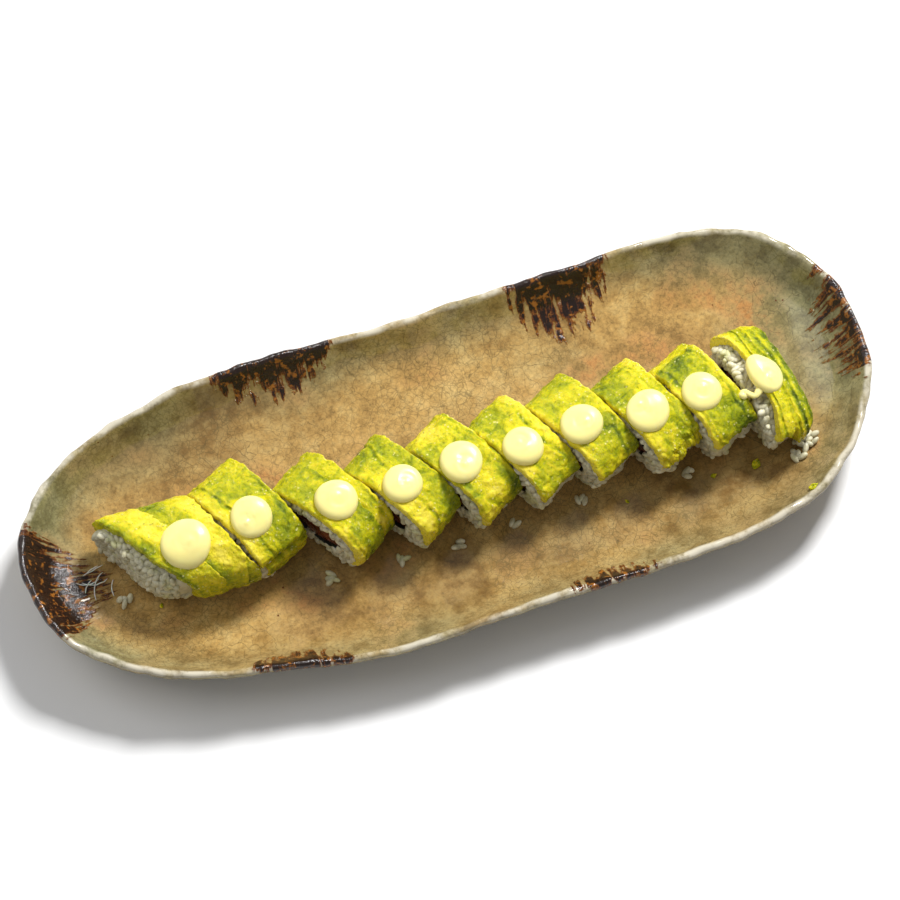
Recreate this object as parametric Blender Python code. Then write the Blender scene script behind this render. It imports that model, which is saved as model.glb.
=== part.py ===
"""A uramaki roll of ten pieces on its long oval stoneware dish, in metres.

+X runs along the dish, +Y to its back and +Z up. The origin is on the table, under the middle of the dish.
Each piece is a slice of the roll: rice outside, then nori, then the filling, with avocado laid over the rice
and a dollop of mayonnaise on top. The slices stand in echelon, each turned a little from the dish's length.
"""

import math
from collections import namedtuple

import bmesh
import bpy
from mathutils import Vector

MM = 0.001
GAP = 0.3 * MM  # between solids that touch

# The dish: straight sides and half-oval ends, the left one longer and the right one blunter, on a foot
DISH_LENGTH = 339 * MM
DISH_WIDTH = 131 * MM
LEFT_END = 100 * MM
RIGHT_END = 80 * MM
LEFT_SQUARENESS = 2.0
RIGHT_SQUARENESS = 2.3
BOW = 4.5 * MM  # how far the dish's two ends bend to the back
DENT = 0.075  # how much narrower the front is about DENT_AT, as a share of its distance from the middle
DENT_AT = -95 * MM
DENT_SPREAD = 38 * MM
RIM_HEIGHT = 26 * MM
FLOOR_HEIGHT = 10 * MM
FLOOR_INSET = 38 * MM
RIM_WIDTH = 5 * MM
WALL_BASE = 12 * MM
FOOT_INSET = 27 * MM
FOOT_WIDTH = 4 * MM
FOOT_DEPTH = 4 * MM
END_STEPS = 18
SIDE_STEPS = 10
# The hand-made rim's unevenness: (waves round the dish, size in mm, phase)
RIM_SWELL = ((1, 1.2, 1.57), (3, 0.7, 0.6), (7, 0.5, 2.1), (12, 0.4, 4.0))
RIM_LIFT = ((2, 1.2, 1.57), (4, 0.6, 1.0), (9, 0.5, 2.6))

# The roll's section, before the avocado
RICE_WIDTH = 37.4 * MM
RICE_HEIGHT = 24.5 * MM
BASE_FLAT = 1.0 * MM
SQUARENESS = 2.6  # the exponent of the section's outline: 2 is an ellipse, and more is boxier
CORE_HEIGHT = 12.6 * MM
NORI_WIDTH = 24 * MM
NORI_HEIGHT = 15.4 * MM
NORI_THICKNESS = 0.7 * MM
SECTION_STEPS = 20

AVOCADO_THICKNESS = 3.3 * MM
AVOCADO_EDGE = 0.45  # how much of the thickness is left at a slice's two ends
AVOCADO_STEPS = 12

MAYO_HEIGHT = 5.6 * MM
MAYO_STEPS = 14
MAYO_PEAK = 1.15
MAYO_PROFILE = ((0.5, 0), (0.93, 0), (1, 0.35), (0.9, 0.66), (0.62, 0.88), (0.26, 0.96))  # (radius, rise)

# A slice of the roll: where it stands, how far its length is turned from +X and how thick it is cut.
# Its dollop is so far along the roll and forward of the slice's middle, and so wide across and along.
# Its avocado is a row of (name's end, from angle, to angle, from side, to side). Angles run round the
# section from 0 at the front, over 90 at the top, to 180 at the back. Sides are shares of the
# thickness, from 0 at the left cut to 1 at the right.
Slice = namedtuple("Slice", "x y yaw thick dollop avocado")
Dollop = namedtuple("Dollop", "along forward across long")
SLICES = (
    Slice(-107.9, -6.6, 24, 33, Dollop(2.0, -2.4, 19.4, 18.8),
          (("a", -24, 196, 0.04, 0.5), ("b", -18, 182, 0.52, 1.0))),
    Slice(-80.6, 4.2, 26, 22.6, Dollop(-2.1, 5.1, 16.2, 16.2),
          (("a", 12, 186, 0.0, 1.0), ("b", -30, 9, 0.1, 1.0))),
    Slice(-48.3, -1.9, 34, 21.6, Dollop(-1.1, 3.2, 16.2, 16.2),
          (("a", -30, 182, 0.0, 0.66), ("b", -34, 172, 0.68, 1.0))),
    Slice(-21.0, -3.5, 32.5, 20.3, Dollop(-2.2, 2.6, 15.2, 15.2), (("a", -30, 180, 0.0, 1.0),)),
    Slice(4.1, -3.2, 30, 20.3, Dollop(-2.4, 1.2, 16.6, 16.6), (("a", -26, 184, 0.0, 1.0),)),
    Slice(28.2, -3.3, 28.5, 20.2, Dollop(-2.7, 2.7, 15.6, 15.6), (("a", -6, 180, 0.0, 1.0),)),
    Slice(52.4, -2.3, 27.5, 20.6, Dollop(-2.4, 2.3, 16.2, 16.2), (("a", -4, 176, 0.0, 1.0),)),
    Slice(77.8, -4.6, 25, 20.2, Dollop(-2.0, 3.2, 16.8, 16.8), (("a", 0, 178, 0.0, 1.0),)),
    Slice(100.8, -4.7, 23, 19.8, Dollop(-2.3, 2.0, 15.6, 15.6),
          (("a", 10, 142, 0.0, 1.0), ("b", 145, 182, 0.0, 1.0))),
    Slice(125.0, -3.0, 12, 19, Dollop(-0.9, 5.3, 16.6, 13.2),
          (("a", 8, 184, 0.0, 0.46), ("b", -22, 176, 0.48, 1.0))),
)
END_STATIONS = (0.0, 0.4, 0.75, 1.0)  # along an end slice, from its cut to the roll's own end
LEFT_TAPER = (1.0, 0.99, 0.96, 0.88)  # the section's size at each station
RIGHT_TAPER = (1.0, 0.97, 0.88, 0.74)
LEFT_SKEW = math.radians(10)  # how far the roll's left end is turned from a square cut
LEFT_SLIDE = 16 * MM  # how far back that end lies, as the first slice was cut askew
FRONT_SPREAD = 1.4  # how much wider the last slice has sagged towards the front
END_RICE = 4 * MM  # the rice that closes over the nori and filling at the roll's two ends

STONEWARE = ("stoneware", (0.36, 0.30, 0.19, 1), 0.25)
RICE = ("rice", (0.80, 0.78, 0.70, 1), 0.5)
NORI = ("nori", (0.02, 0.03, 0.02, 1), 0.4)
FILLING = ("filling", (0.33, 0.09, 0.03, 1), 0.35)
AVOCADO = ("avocado", (0.62, 0.66, 0.06, 1), 0.4)
MAYONNAISE = ("mayonnaise", (0.95, 0.87, 0.58, 1), 0.3)


def clear_scene():
    for obj in list(bpy.data.objects):
        bpy.data.objects.remove(obj)


def material(look):
    """The Principled material of one (name, colour, roughness), made once."""
    name, colour, roughness = look
    made = bpy.data.materials.get(name)
    if made is None:
        made = bpy.data.materials.new(name)
        made.use_nodes = True
        shader = made.node_tree.nodes["Principled BSDF"]
        shader.inputs["Base Color"].default_value = colour
        shader.inputs["Roughness"].default_value = roughness
        shader.inputs["Metallic"].default_value = 0
    return made


def add_solid(name, look, points, faces, place=None):
    """One object from points and faces, with its faces turned outwards and its round parts smooth."""
    mesh = bpy.data.meshes.new(name)
    mesh.from_pydata([tuple(p) for p in points], [], faces)
    shape = bmesh.new()
    shape.from_mesh(mesh)
    bmesh.ops.recalc_face_normals(shape, faces=shape.faces)
    shape.to_mesh(mesh)
    shape.free()
    mesh.shade_smooth()
    mesh.set_sharp_from_angle(angle=math.radians(40))
    mesh.materials.append(material(look))
    obj = bpy.data.objects.new(name, mesh)
    bpy.context.collection.objects.link(obj)
    if place is not None:
        obj.location, obj.rotation_euler = place
    return obj


def joined_rings(rings, cap_first=True, cap_last=True, close=False):
    """Points and faces of a skin over rings of equal length, capped at its ends or closed on itself."""
    count = len(rings[0])
    points = [p for ring in rings for p in ring]
    faces = []
    pairs = list(zip(range(len(rings) - 1), range(1, len(rings))))
    if close:
        pairs.append((len(rings) - 1, 0))
    for low, high in pairs:
        for i in range(count):
            j = (i + 1) % count
            faces.append((low * count + i, low * count + j, high * count + j, high * count + i))
    if not close and cap_first:
        faces.append(tuple(range(count)))
    if not close and cap_last:
        last = (len(rings) - 1) * count
        faces.append(tuple(range(last, last + count)))
    return points, faces


# ---- the dish ----


def on_section(angle, width, height, squareness, offset=0.0):
    """(across, up) at this angle on a rounded section about its middle, moved outwards by offset."""
    c, s = math.cos(angle), math.sin(angle)
    power = 2 / squareness
    point = Vector((
        width / 2 * math.copysign(abs(c) ** power, c),
        height / 2 * math.copysign(abs(s) ** power, s),
    ))
    normal = Vector((
        math.copysign(abs(c) ** (2 - power), c) / width,
        math.copysign(abs(s) ** (2 - power), s) / height,
    ))
    return point + normal.normalized() * offset


def outline_angles():
    """(straight offset as a share, angle) of each point round the dish, from the front right."""
    quarter = math.pi / 2
    steps = []
    for side, start in ((1, -quarter), (-1, quarter)):
        for i in range(END_STEPS):
            steps.append((side, start + math.pi * i / END_STEPS))
        for i in range(SIDE_STEPS):
            steps.append((side * (1 - 2 * i / SIDE_STEPS), start + math.pi))
    return steps


def waves(table, angle):
    """The sum of a table of waves at this angle round the dish, in metres."""
    return sum(size * math.sin(count * angle + phase) for count, size, phase in table) * MM


def dish_ring(inset, height, hand_made):
    """One ring of the dish, so far inside its outline, with this much of the rim's unevenness."""
    left = LEFT_END - DISH_LENGTH / 2
    right = DISH_LENGTH / 2 - RIGHT_END
    ring = []
    for share, angle in outline_angles():
        end, squareness = (RIGHT_END, RIGHT_SQUARENESS) if share == 1 else (LEFT_END, LEFT_SQUARENESS)
        across, up = on_section(angle, 2 * (end - inset), DISH_WIDTH - 2 * inset, squareness)
        x = (left + right) / 2 + share * (right - left) / 2 + across
        if up < 0:
            up *= 1 - DENT * math.exp(-(((x - DENT_AT) / DENT_SPREAD) ** 2))
        base = Vector((x, up + BOW * (2 * x / DISH_LENGTH) ** 2, height))
        place = math.atan2(base.y / DISH_WIDTH, base.x / DISH_LENGTH)
        outward = Vector((math.cos(angle), math.sin(angle), 0))
        swell = outward * waves(RIM_SWELL, place) + Vector((0, 0, waves(RIM_LIFT, place)))
        ring.append(base + swell * hand_made)
    return ring


def add_dish():
    """The dish, from the middle of its floor out over the rim and back under to the foot."""
    wall = RIM_HEIGHT - FLOOR_HEIGHT
    rings = [
        dish_ring(FLOOR_INSET, FLOOR_HEIGHT, 0),
        dish_ring(0.78 * FLOOR_INSET, FLOOR_HEIGHT + 0.03 * wall, 0),
        dish_ring(0.52 * FLOOR_INSET, FLOOR_HEIGHT + 0.14 * wall, 0),
        dish_ring(WALL_BASE, FLOOR_HEIGHT + 0.31 * wall, 0.2),
        dish_ring(0.62 * WALL_BASE, FLOOR_HEIGHT + 0.60 * wall, 0.6),
        dish_ring(RIM_WIDTH, FLOOR_HEIGHT + 0.88 * wall, 0.9),
        dish_ring(0.72 * RIM_WIDTH, RIM_HEIGHT - 0.4 * MM, 1),
        dish_ring(0.36 * RIM_WIDTH, RIM_HEIGHT, 1),
        dish_ring(0.06 * RIM_WIDTH, RIM_HEIGHT - 1.4 * MM, 1),
        dish_ring(0, RIM_HEIGHT - 3.4 * MM, 1),
        dish_ring(0.5 * RIM_WIDTH, RIM_HEIGHT - 8.5 * MM, 0.7),
        dish_ring(0.72 * WALL_BASE, FOOT_DEPTH + 0.36 * wall, 0.4),
        dish_ring(0.62 * FOOT_INSET, FOOT_DEPTH + 0.1 * wall, 0.1),
        dish_ring(0.95 * FOOT_INSET, FOOT_DEPTH, 0),
        dish_ring(FOOT_INSET, 0, 0),
        dish_ring(FOOT_INSET + FOOT_WIDTH, 0, 0),
        dish_ring(FOOT_INSET + 1.3 * FOOT_WIDTH, FOOT_DEPTH, 0),
    ]
    points, faces = joined_rings(rings)
    middle = [(min(p[i] for p in points) + max(p[i] for p in points)) / 2 for i in (0, 1)]
    shift = Vector((-middle[0], -middle[1], 0))
    add_solid("dish", STONEWARE, [p + shift for p in points], faces)


# ---- the roll's section ----


def rice_point(angle, offset=0.0, size=1.0):
    """A point on the rice's outline at this angle, above the flat that the slice stands on."""
    middle = RICE_HEIGHT / 2
    full = RICE_HEIGHT + 2 * BASE_FLAT
    across, up = on_section(angle, RICE_WIDTH * size, full * size, SQUARENESS, offset)
    return across, max(up, -middle) + middle


def core_point(angle, inset=0.0):
    """A point on the nori's outer face at this angle, or so far inside it."""
    across, up = on_section(angle, NORI_WIDTH - 2 * inset, NORI_HEIGHT - 2 * inset, 2)
    return across, up + CORE_HEIGHT


def section_ring(along, outline, **how):
    """A ring of the roll's section, so far along it. Local X runs along the roll, and -Y to its front."""
    ring = []
    for i in range(SECTION_STEPS):
        across, up = outline(2 * math.pi * i / SECTION_STEPS, **how)
        ring.append((along, -across, up))
    return ring


def slice_place(cut):
    """Location and rotation of a slice, standing on the dish's floor."""
    return Vector((cut.x * MM, cut.y * MM, FLOOR_HEIGHT + GAP)), (0, 0, math.radians(cut.yaw))


def taper_of(number):
    """[(share of the thickness from the left cut, size of the section)] along a slice."""
    if number == 1:
        return [(1 - at, size) for at, size in zip(END_STATIONS, LEFT_TAPER)][::-1]
    if number == len(SLICES):
        return list(zip(END_STATIONS, RIGHT_TAPER))
    return [(0.0, 1.0), (1.0, 1.0)]


def size_at(number, share):
    """The section's size at this share of a slice's thickness."""
    stations = taper_of(number)
    for (a, size_a), (b, size_b) in zip(stations, stations[1:]):
        if a <= share <= b:
            return size_a + (size_b - size_a) * (share - a) / (b - a)
    return stations[-1][1]


def slid(number, cut, ring):
    """The ring, moved back towards the roll's left end: fully at that end, not at all at the cut."""
    if number != 1:
        return ring
    return [(x, y + LEFT_SLIDE * (0.5 - x / (cut.thick * MM)), z) for x, y, z in ring]


def sagged(number, cut, ring):
    """A ring of the outer layers: slanted at the roll's left end, spread to the front in the last slice."""
    if number == len(SLICES):
        return [(x, y * FRONT_SPREAD if y < 0 else y, z) for x, y, z in ring]
    slant = math.tan(LEFT_SKEW) if number == 1 else 0
    return slid(number, cut, [(x - slant * y * (0.5 - x / (cut.thick * MM)), y, z) for x, y, z in ring])


def level_across(number, cut, along, across):
    """Where a point of the slice lay across the roll before it slid or sagged."""
    if number == 1:
        return across + LEFT_SLIDE * (0.5 - along / (cut.thick * MM))
    if number == len(SLICES) and across > 0:
        return across / FRONT_SPREAD
    return across


def core_span(number, cut):
    """Where the nori and filling start and end: at a slice's cuts, but short of the roll's own ends."""
    half = cut.thick * MM / 2
    left = -half + (END_RICE if number == 1 else 0)
    right = half - (END_RICE if number == len(SLICES) else 0)
    return left, right


def add_rice(number, cut):
    """The rice: a ring through which the core runs, or a cup at the roll's two ends."""
    thick = cut.thick * MM
    left, right = core_span(number, cut)
    outer = [sagged(number, cut, section_ring((share - 0.5) * thick, rice_point, size=size))
             for share, size in taper_of(number)]
    if number == 1:
        stops = (right, left - GAP)
    elif number == len(SLICES):
        outer.reverse()
        stops = (left, right + GAP)
    else:
        stops = (right, left)
    hole = [slid(number, cut, section_ring(stop, core_point, inset=-GAP)) for stop in stops]
    through = number not in (1, len(SLICES))
    points, faces = joined_rings(outer + hole, close=through)
    add_solid(f"rice_{number:02d}", RICE, points, faces, slice_place(cut))


def add_nori(number, cut):
    left, right = core_span(number, cut)
    rings = [
        section_ring(left, core_point),
        section_ring(right, core_point),
        section_ring(right, core_point, inset=NORI_THICKNESS),
        section_ring(left, core_point, inset=NORI_THICKNESS),
    ]
    points, faces = joined_rings([slid(number, cut, ring) for ring in rings], close=True)
    add_solid(f"nori_{number:02d}", NORI, points, faces, slice_place(cut))


def add_filling(number, cut):
    rings = [section_ring(at, core_point, inset=NORI_THICKNESS + GAP) for at in core_span(number, cut)]
    points, faces = joined_rings([slid(number, cut, ring) for ring in rings])
    add_solid(f"filling_{number:02d}", FILLING, points, faces, slice_place(cut))


# ---- the avocado and the dollops ----


def avocado_thickness(share):
    """How thick a slice is at this share of its sweep over the roll: thinner towards its two ends."""
    return AVOCADO_THICKNESS * (AVOCADO_EDGE + (1 - AVOCADO_EDGE) * math.sin(math.pi * share) ** 0.5)


def add_avocado(number, cut, piece):
    """One slice of avocado, bent over the rice between two angles and between two sides of the cut."""
    label, start, end, left, right = piece
    thick = cut.thick * MM
    rings = []
    for side in (left, (left + right) / 2, right):
        size = size_at(number, side)
        inner, outer = [], []
        for i in range(AVOCADO_STEPS + 1):
            share = i / AVOCADO_STEPS
            angle = math.radians(start + (end - start) * share)
            for row, offset in ((inner, GAP), (outer, GAP + avocado_thickness(share))):
                across, up = rice_point(angle, offset=offset, size=size)
                row.append(((side - 0.5) * thick, -across, up))
        rings.append(sagged(number, cut, inner + outer[::-1]))
    points, faces = joined_rings(rings, cap_first=False, cap_last=False)
    count = 2 * (AVOCADO_STEPS + 1)
    for first in (0, (len(rings) - 1) * count):
        for i in range(AVOCADO_STEPS):
            faces.append((first + i, first + i + 1, first + count - 2 - i, first + count - 1 - i))
    add_solid(f"avocado_{number:02d}{label}", AVOCADO, points, faces, slice_place(cut))


def top_height(across, number, side):
    """How high the avocado's upper face is at this distance across the roll, found by halving the angle."""
    low, high = 0.05, math.pi - 0.05
    for _ in range(40):
        angle = (low + high) / 2
        point = rice_point(angle, offset=GAP + AVOCADO_THICKNESS, size=size_at(number, side))
        if point[0] > across:
            low = angle
        else:
            high = angle
    return point[1]


def add_mayonnaise(number, cut):
    """A dollop: a flat drop with a rounded foot and a small peak, its underside shaped to the avocado."""
    thick = cut.thick * MM
    centre = Vector((cut.dollop.along, cut.dollop.forward)) * MM
    reach = Vector((cut.dollop.long, cut.dollop.across)) * MM / 2

    def foot_at(along, across):
        share = min(max(0.5 + along / thick, 0), 1)
        level = level_across(number, cut, along, across)
        return max(top_height(level, number, s) for s in (share, 0.5)) + 1.5 * GAP

    rings = []
    for radius, rise in MAYO_PROFILE:
        ring = []
        for i in range(MAYO_STEPS):
            angle = 2 * math.pi * i / MAYO_STEPS
            along = centre.x + reach.x * radius * math.cos(angle)
            across = centre.y + reach.y * radius * math.sin(angle)
            ring.append((along, -across, foot_at(along, across) + rise * MAYO_HEIGHT))
        rings.append(ring)
    points, faces = joined_rings(rings, cap_first=False, cap_last=False)
    for first, rise in ((0, 0), (len(points) - MAYO_STEPS, MAYO_PEAK)):
        middle = len(points)
        points.append((centre.x, -centre.y, foot_at(*centre) + rise * MAYO_HEIGHT))
        faces += [(first + i, first + (i + 1) % MAYO_STEPS, middle) for i in range(MAYO_STEPS)]
    add_solid(f"mayonnaise_{number:02d}", MAYONNAISE, points, faces, slice_place(cut))


def build():
    clear_scene()
    add_dish()
    for number, cut in enumerate(SLICES, start=1):
        add_rice(number, cut)
        add_nori(number, cut)
        add_filling(number, cut)
        for piece in cut.avocado:
            add_avocado(number, cut, piece)
        add_mayonnaise(number, cut)


build()
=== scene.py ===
import math

import bmesh
import bpy
from mathutils import Matrix, Vector, noise
from mathutils.bvhtree import BVHTree


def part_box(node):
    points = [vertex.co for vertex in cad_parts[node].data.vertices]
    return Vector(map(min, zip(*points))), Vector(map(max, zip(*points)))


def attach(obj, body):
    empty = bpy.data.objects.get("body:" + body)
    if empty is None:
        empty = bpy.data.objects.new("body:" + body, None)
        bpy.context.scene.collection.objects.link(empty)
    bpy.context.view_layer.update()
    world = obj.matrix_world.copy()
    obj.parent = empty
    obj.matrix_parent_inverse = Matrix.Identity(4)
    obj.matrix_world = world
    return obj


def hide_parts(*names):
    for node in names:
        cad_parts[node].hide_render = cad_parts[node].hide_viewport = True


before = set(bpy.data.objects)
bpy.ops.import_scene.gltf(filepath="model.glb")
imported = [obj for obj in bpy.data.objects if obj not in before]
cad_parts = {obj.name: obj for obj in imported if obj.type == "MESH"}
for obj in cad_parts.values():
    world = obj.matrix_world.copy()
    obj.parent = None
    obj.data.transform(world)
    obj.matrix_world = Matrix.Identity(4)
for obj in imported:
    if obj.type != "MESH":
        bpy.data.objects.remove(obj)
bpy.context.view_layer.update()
mm = 0.001
print("frame loaded")


# small helpers for meshes

def clamp(value, low=0.0, high=1.0):
    return max(low, min(high, value))


def smooth(low, high, value):
    share = clamp((value - low) / (high - low))
    return share * share * (3 - 2 * share)


def blend(a, b, share):
    return a + (b - a) * share


def ripple(x, y=0.0, z=0.0, seed=0.0):
    # smooth noise between about -1 and 1, the same each run
    return noise.noise(Vector((x + 17.3 * seed, y - 9.1 * seed, z + 4.7 * seed))) * 1.6


def ringFaces(a, b, count):
    # quads between two closed rings of points, which start at a and at b
    return [(a + i, a + (i + 1) % count, b + (i + 1) % count, b + i) for i in range(count)]


def fanFaces(ring, tip, count):
    return [(ring + i, ring + (i + 1) % count, tip) for i in range(count)]


def gridFaces(rows, columns, closed=False):
    # quads over rows of points, with the last column joined to the first if closed
    faces = []
    for r in range(rows - 1):
        band = ringFaces(r * columns, (r + 1) * columns, columns)
        faces += band if closed else band[:-1]
    return faces


def bell(x, y, middleX, middleY, radiusX, radiusY):
    # 1 at the middle, falling off smoothly all round
    return math.exp(-((x - middleX) / radiusX) ** 2 - ((y - middleY) / radiusY) ** 2)


def makePiece(name, points, faces, material, floats=None, corners=None, sharp=50):
    # one mesh object at the origin, faces outwards, with float attributes and a UV map if given
    mesh = bpy.data.meshes.new(name)
    mesh.from_pydata([tuple(p) for p in points], [], faces)
    for key, values in (floats or {}).items():
        mesh.attributes.new(key, "FLOAT", "POINT").data.foreach_set("value", values)
    if corners:
        layer = mesh.uv_layers.new(name="rimMap")
        for loop in mesh.loops:
            layer.data[loop.index].uv = corners[loop.vertex_index]
    shape = bmesh.new()
    shape.from_mesh(mesh)
    bmesh.ops.recalc_face_normals(shape, faces=shape.faces)
    shape.to_mesh(mesh)
    shape.free()
    mesh.shade_smooth()
    mesh.set_sharp_from_angle(angle=math.radians(sharp))
    mesh.materials.append(material)
    piece = bpy.data.objects.new(name, mesh)
    bpy.context.collection.objects.link(piece)
    return piece


def mergeClose(piece):
    shape = bmesh.new()
    shape.from_mesh(piece.data)
    bmesh.ops.remove_doubles(shape, verts=shape.verts, dist=0.01 * mm)
    bmesh.ops.dissolve_degenerate(shape, edges=shape.edges, dist=0.001 * mm)
    bmesh.ops.recalc_face_normals(shape, faces=shape.faces)
    shape.to_mesh(piece.data)
    shape.free()


def addPiece(piece, slotName, *nodes):
    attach(piece, "root")
    if nodes:
        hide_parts(*nodes)


# small helpers for materials

def addNode(tree, kind, inputs=None, **settings):
    node = tree.nodes.new(kind)
    for key, value in settings.items():
        setattr(node, key, value)
    for key, value in (inputs or {}).items():
        if isinstance(value, bpy.types.NodeSocket):
            tree.links.new(value, node.inputs[key])
        else:
            node.inputs[key].default_value = value
    return node


def startMaterial(name, **values):
    made = bpy.data.materials.new(name)
    made.use_nodes = True
    shader = made.node_tree.nodes["Principled BSDF"]
    for key, value in values.items():
        shader.inputs[key.replace("_", " ")].default_value = value
    return made, made.node_tree, shader


def objectPlace(tree):
    return addNode(tree, "ShaderNodeTexCoord").outputs["Object"]


def noiseOf(tree, place, scale, detail=3.0, roughness=0.5, distortion=0.0):
    return addNode(tree, "ShaderNodeTexNoise", {
        "Vector": place, "Scale": scale, "Detail": detail, "Roughness": roughness,
        "Distortion": distortion,
    }).outputs["Fac"]


def rampOf(tree, share, stops):
    node = addNode(tree, "ShaderNodeValToRGB", {"Fac": share})
    ramp = node.color_ramp
    while len(ramp.elements) < len(stops):
        ramp.elements.new(0.5)
    for element, (at, colour) in zip(ramp.elements, stops):
        element.position = at
        element.color = (*colour, 1)
    return node.outputs["Color"]


def mixOf(tree, share, a, b, kind="MIX"):
    node = addNode(tree, "ShaderNodeMix", data_type="RGBA", blend_type=kind)
    for index, value in ((0, share), (6, a), (7, b)):
        if isinstance(value, bpy.types.NodeSocket):
            tree.links.new(value, node.inputs[index])
        elif index:
            node.inputs[index].default_value = (*value, 1)
        else:
            node.inputs[index].default_value = value
    return node.outputs[2]


def mathOf(tree, operation, a, b=0.0, c=0.0, clampIt=False):
    node = addNode(tree, "ShaderNodeMath", operation=operation, use_clamp=clampIt)
    for index, value in enumerate((a, b, c)):
        if isinstance(value, bpy.types.NodeSocket):
            tree.links.new(value, node.inputs[index])
        else:
            node.inputs[index].default_value = value
    return node.outputs[0]


def rangeOf(tree, value, low, high, toLow=0.0, toHigh=1.0):
    return addNode(tree, "ShaderNodeMapRange", {
        "Value": value, "From Min": low, "From Max": high, "To Min": toLow, "To Max": toHigh,
    }, interpolation_type="SMOOTHSTEP").outputs["Result"]


def attributeOf(tree, name):
    return addNode(tree, "ShaderNodeAttribute", attribute_name=name).outputs["Fac"]


def bumpOf(tree, height, strength, distance, normal=None):
    inputs = {"Height": height, "Strength": strength, "Distance": distance}
    if normal is not None:
        inputs["Normal"] = normal
    return addNode(tree, "ShaderNodeBump", inputs).outputs["Normal"]


def vectorOf(tree, operation, inputs):
    return addNode(tree, "ShaderNodeVectorMath", inputs, operation=operation).outputs[0]


def timesOf(tree, a, b):
    return mathOf(tree, "MULTIPLY", a, b)


def swingOf(tree, noiseFac, size, middle=0.5):
    # noise as a push to both sides of 0
    return mathOf(tree, "MULTIPLY_ADD", noiseFac, size, -size * middle)


def wire(shader, **sockets):
    # join sockets to the shader's inputs, written with _ for a blank
    for key, socket in sockets.items():
        shader.id_data.links.new(socket, shader.inputs[key.replace("_", " ")])


# materials

glaze = {
    "tan": (0.43, 0.265, 0.084), "darkTan": (0.24, 0.138, 0.042), "paleTan": (0.60, 0.40, 0.145),
    "green": (0.30, 0.275, 0.135), "darkGreen": (0.145, 0.145, 0.068),
    "darkBrownAndShade": (0.12, 0.062, 0.020), "paleBrownAndShade": (0.25, 0.165, 0.062),
    "blush": (0.42, 0.19, 0.055), "rim": (0.62, 0.57, 0.45), "crack": (0.085, 0.065, 0.026),
    "amber": (0.36, 0.13, 0.016), "rust": (0.11, 0.032, 0.008), "iron": (0.012, 0.006, 0.004),
    "thickIron": (0.020, 0.009, 0.006),
    "speckles": ((0.30, (0.58, 0.58, 0.58)), (0.48, (0.97, 0.97, 0.97)), (0.68, (1.22, 1.2, 1.15))),
    # nets of cracks: cells per metre, width as a share of a cell, patches per metre, strength
    "nets": ((360.0, 0.058, 34.0, 0.50), (165.0, 0.024, 22.0, 0.62), (70.0, 0.010, 15.0, 0.42)),
    "wander": 4 * mm,  # how far the cracks bend
    "streaks": (360.0, 46.0),  # across and along the splashes, per metre
}


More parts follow.
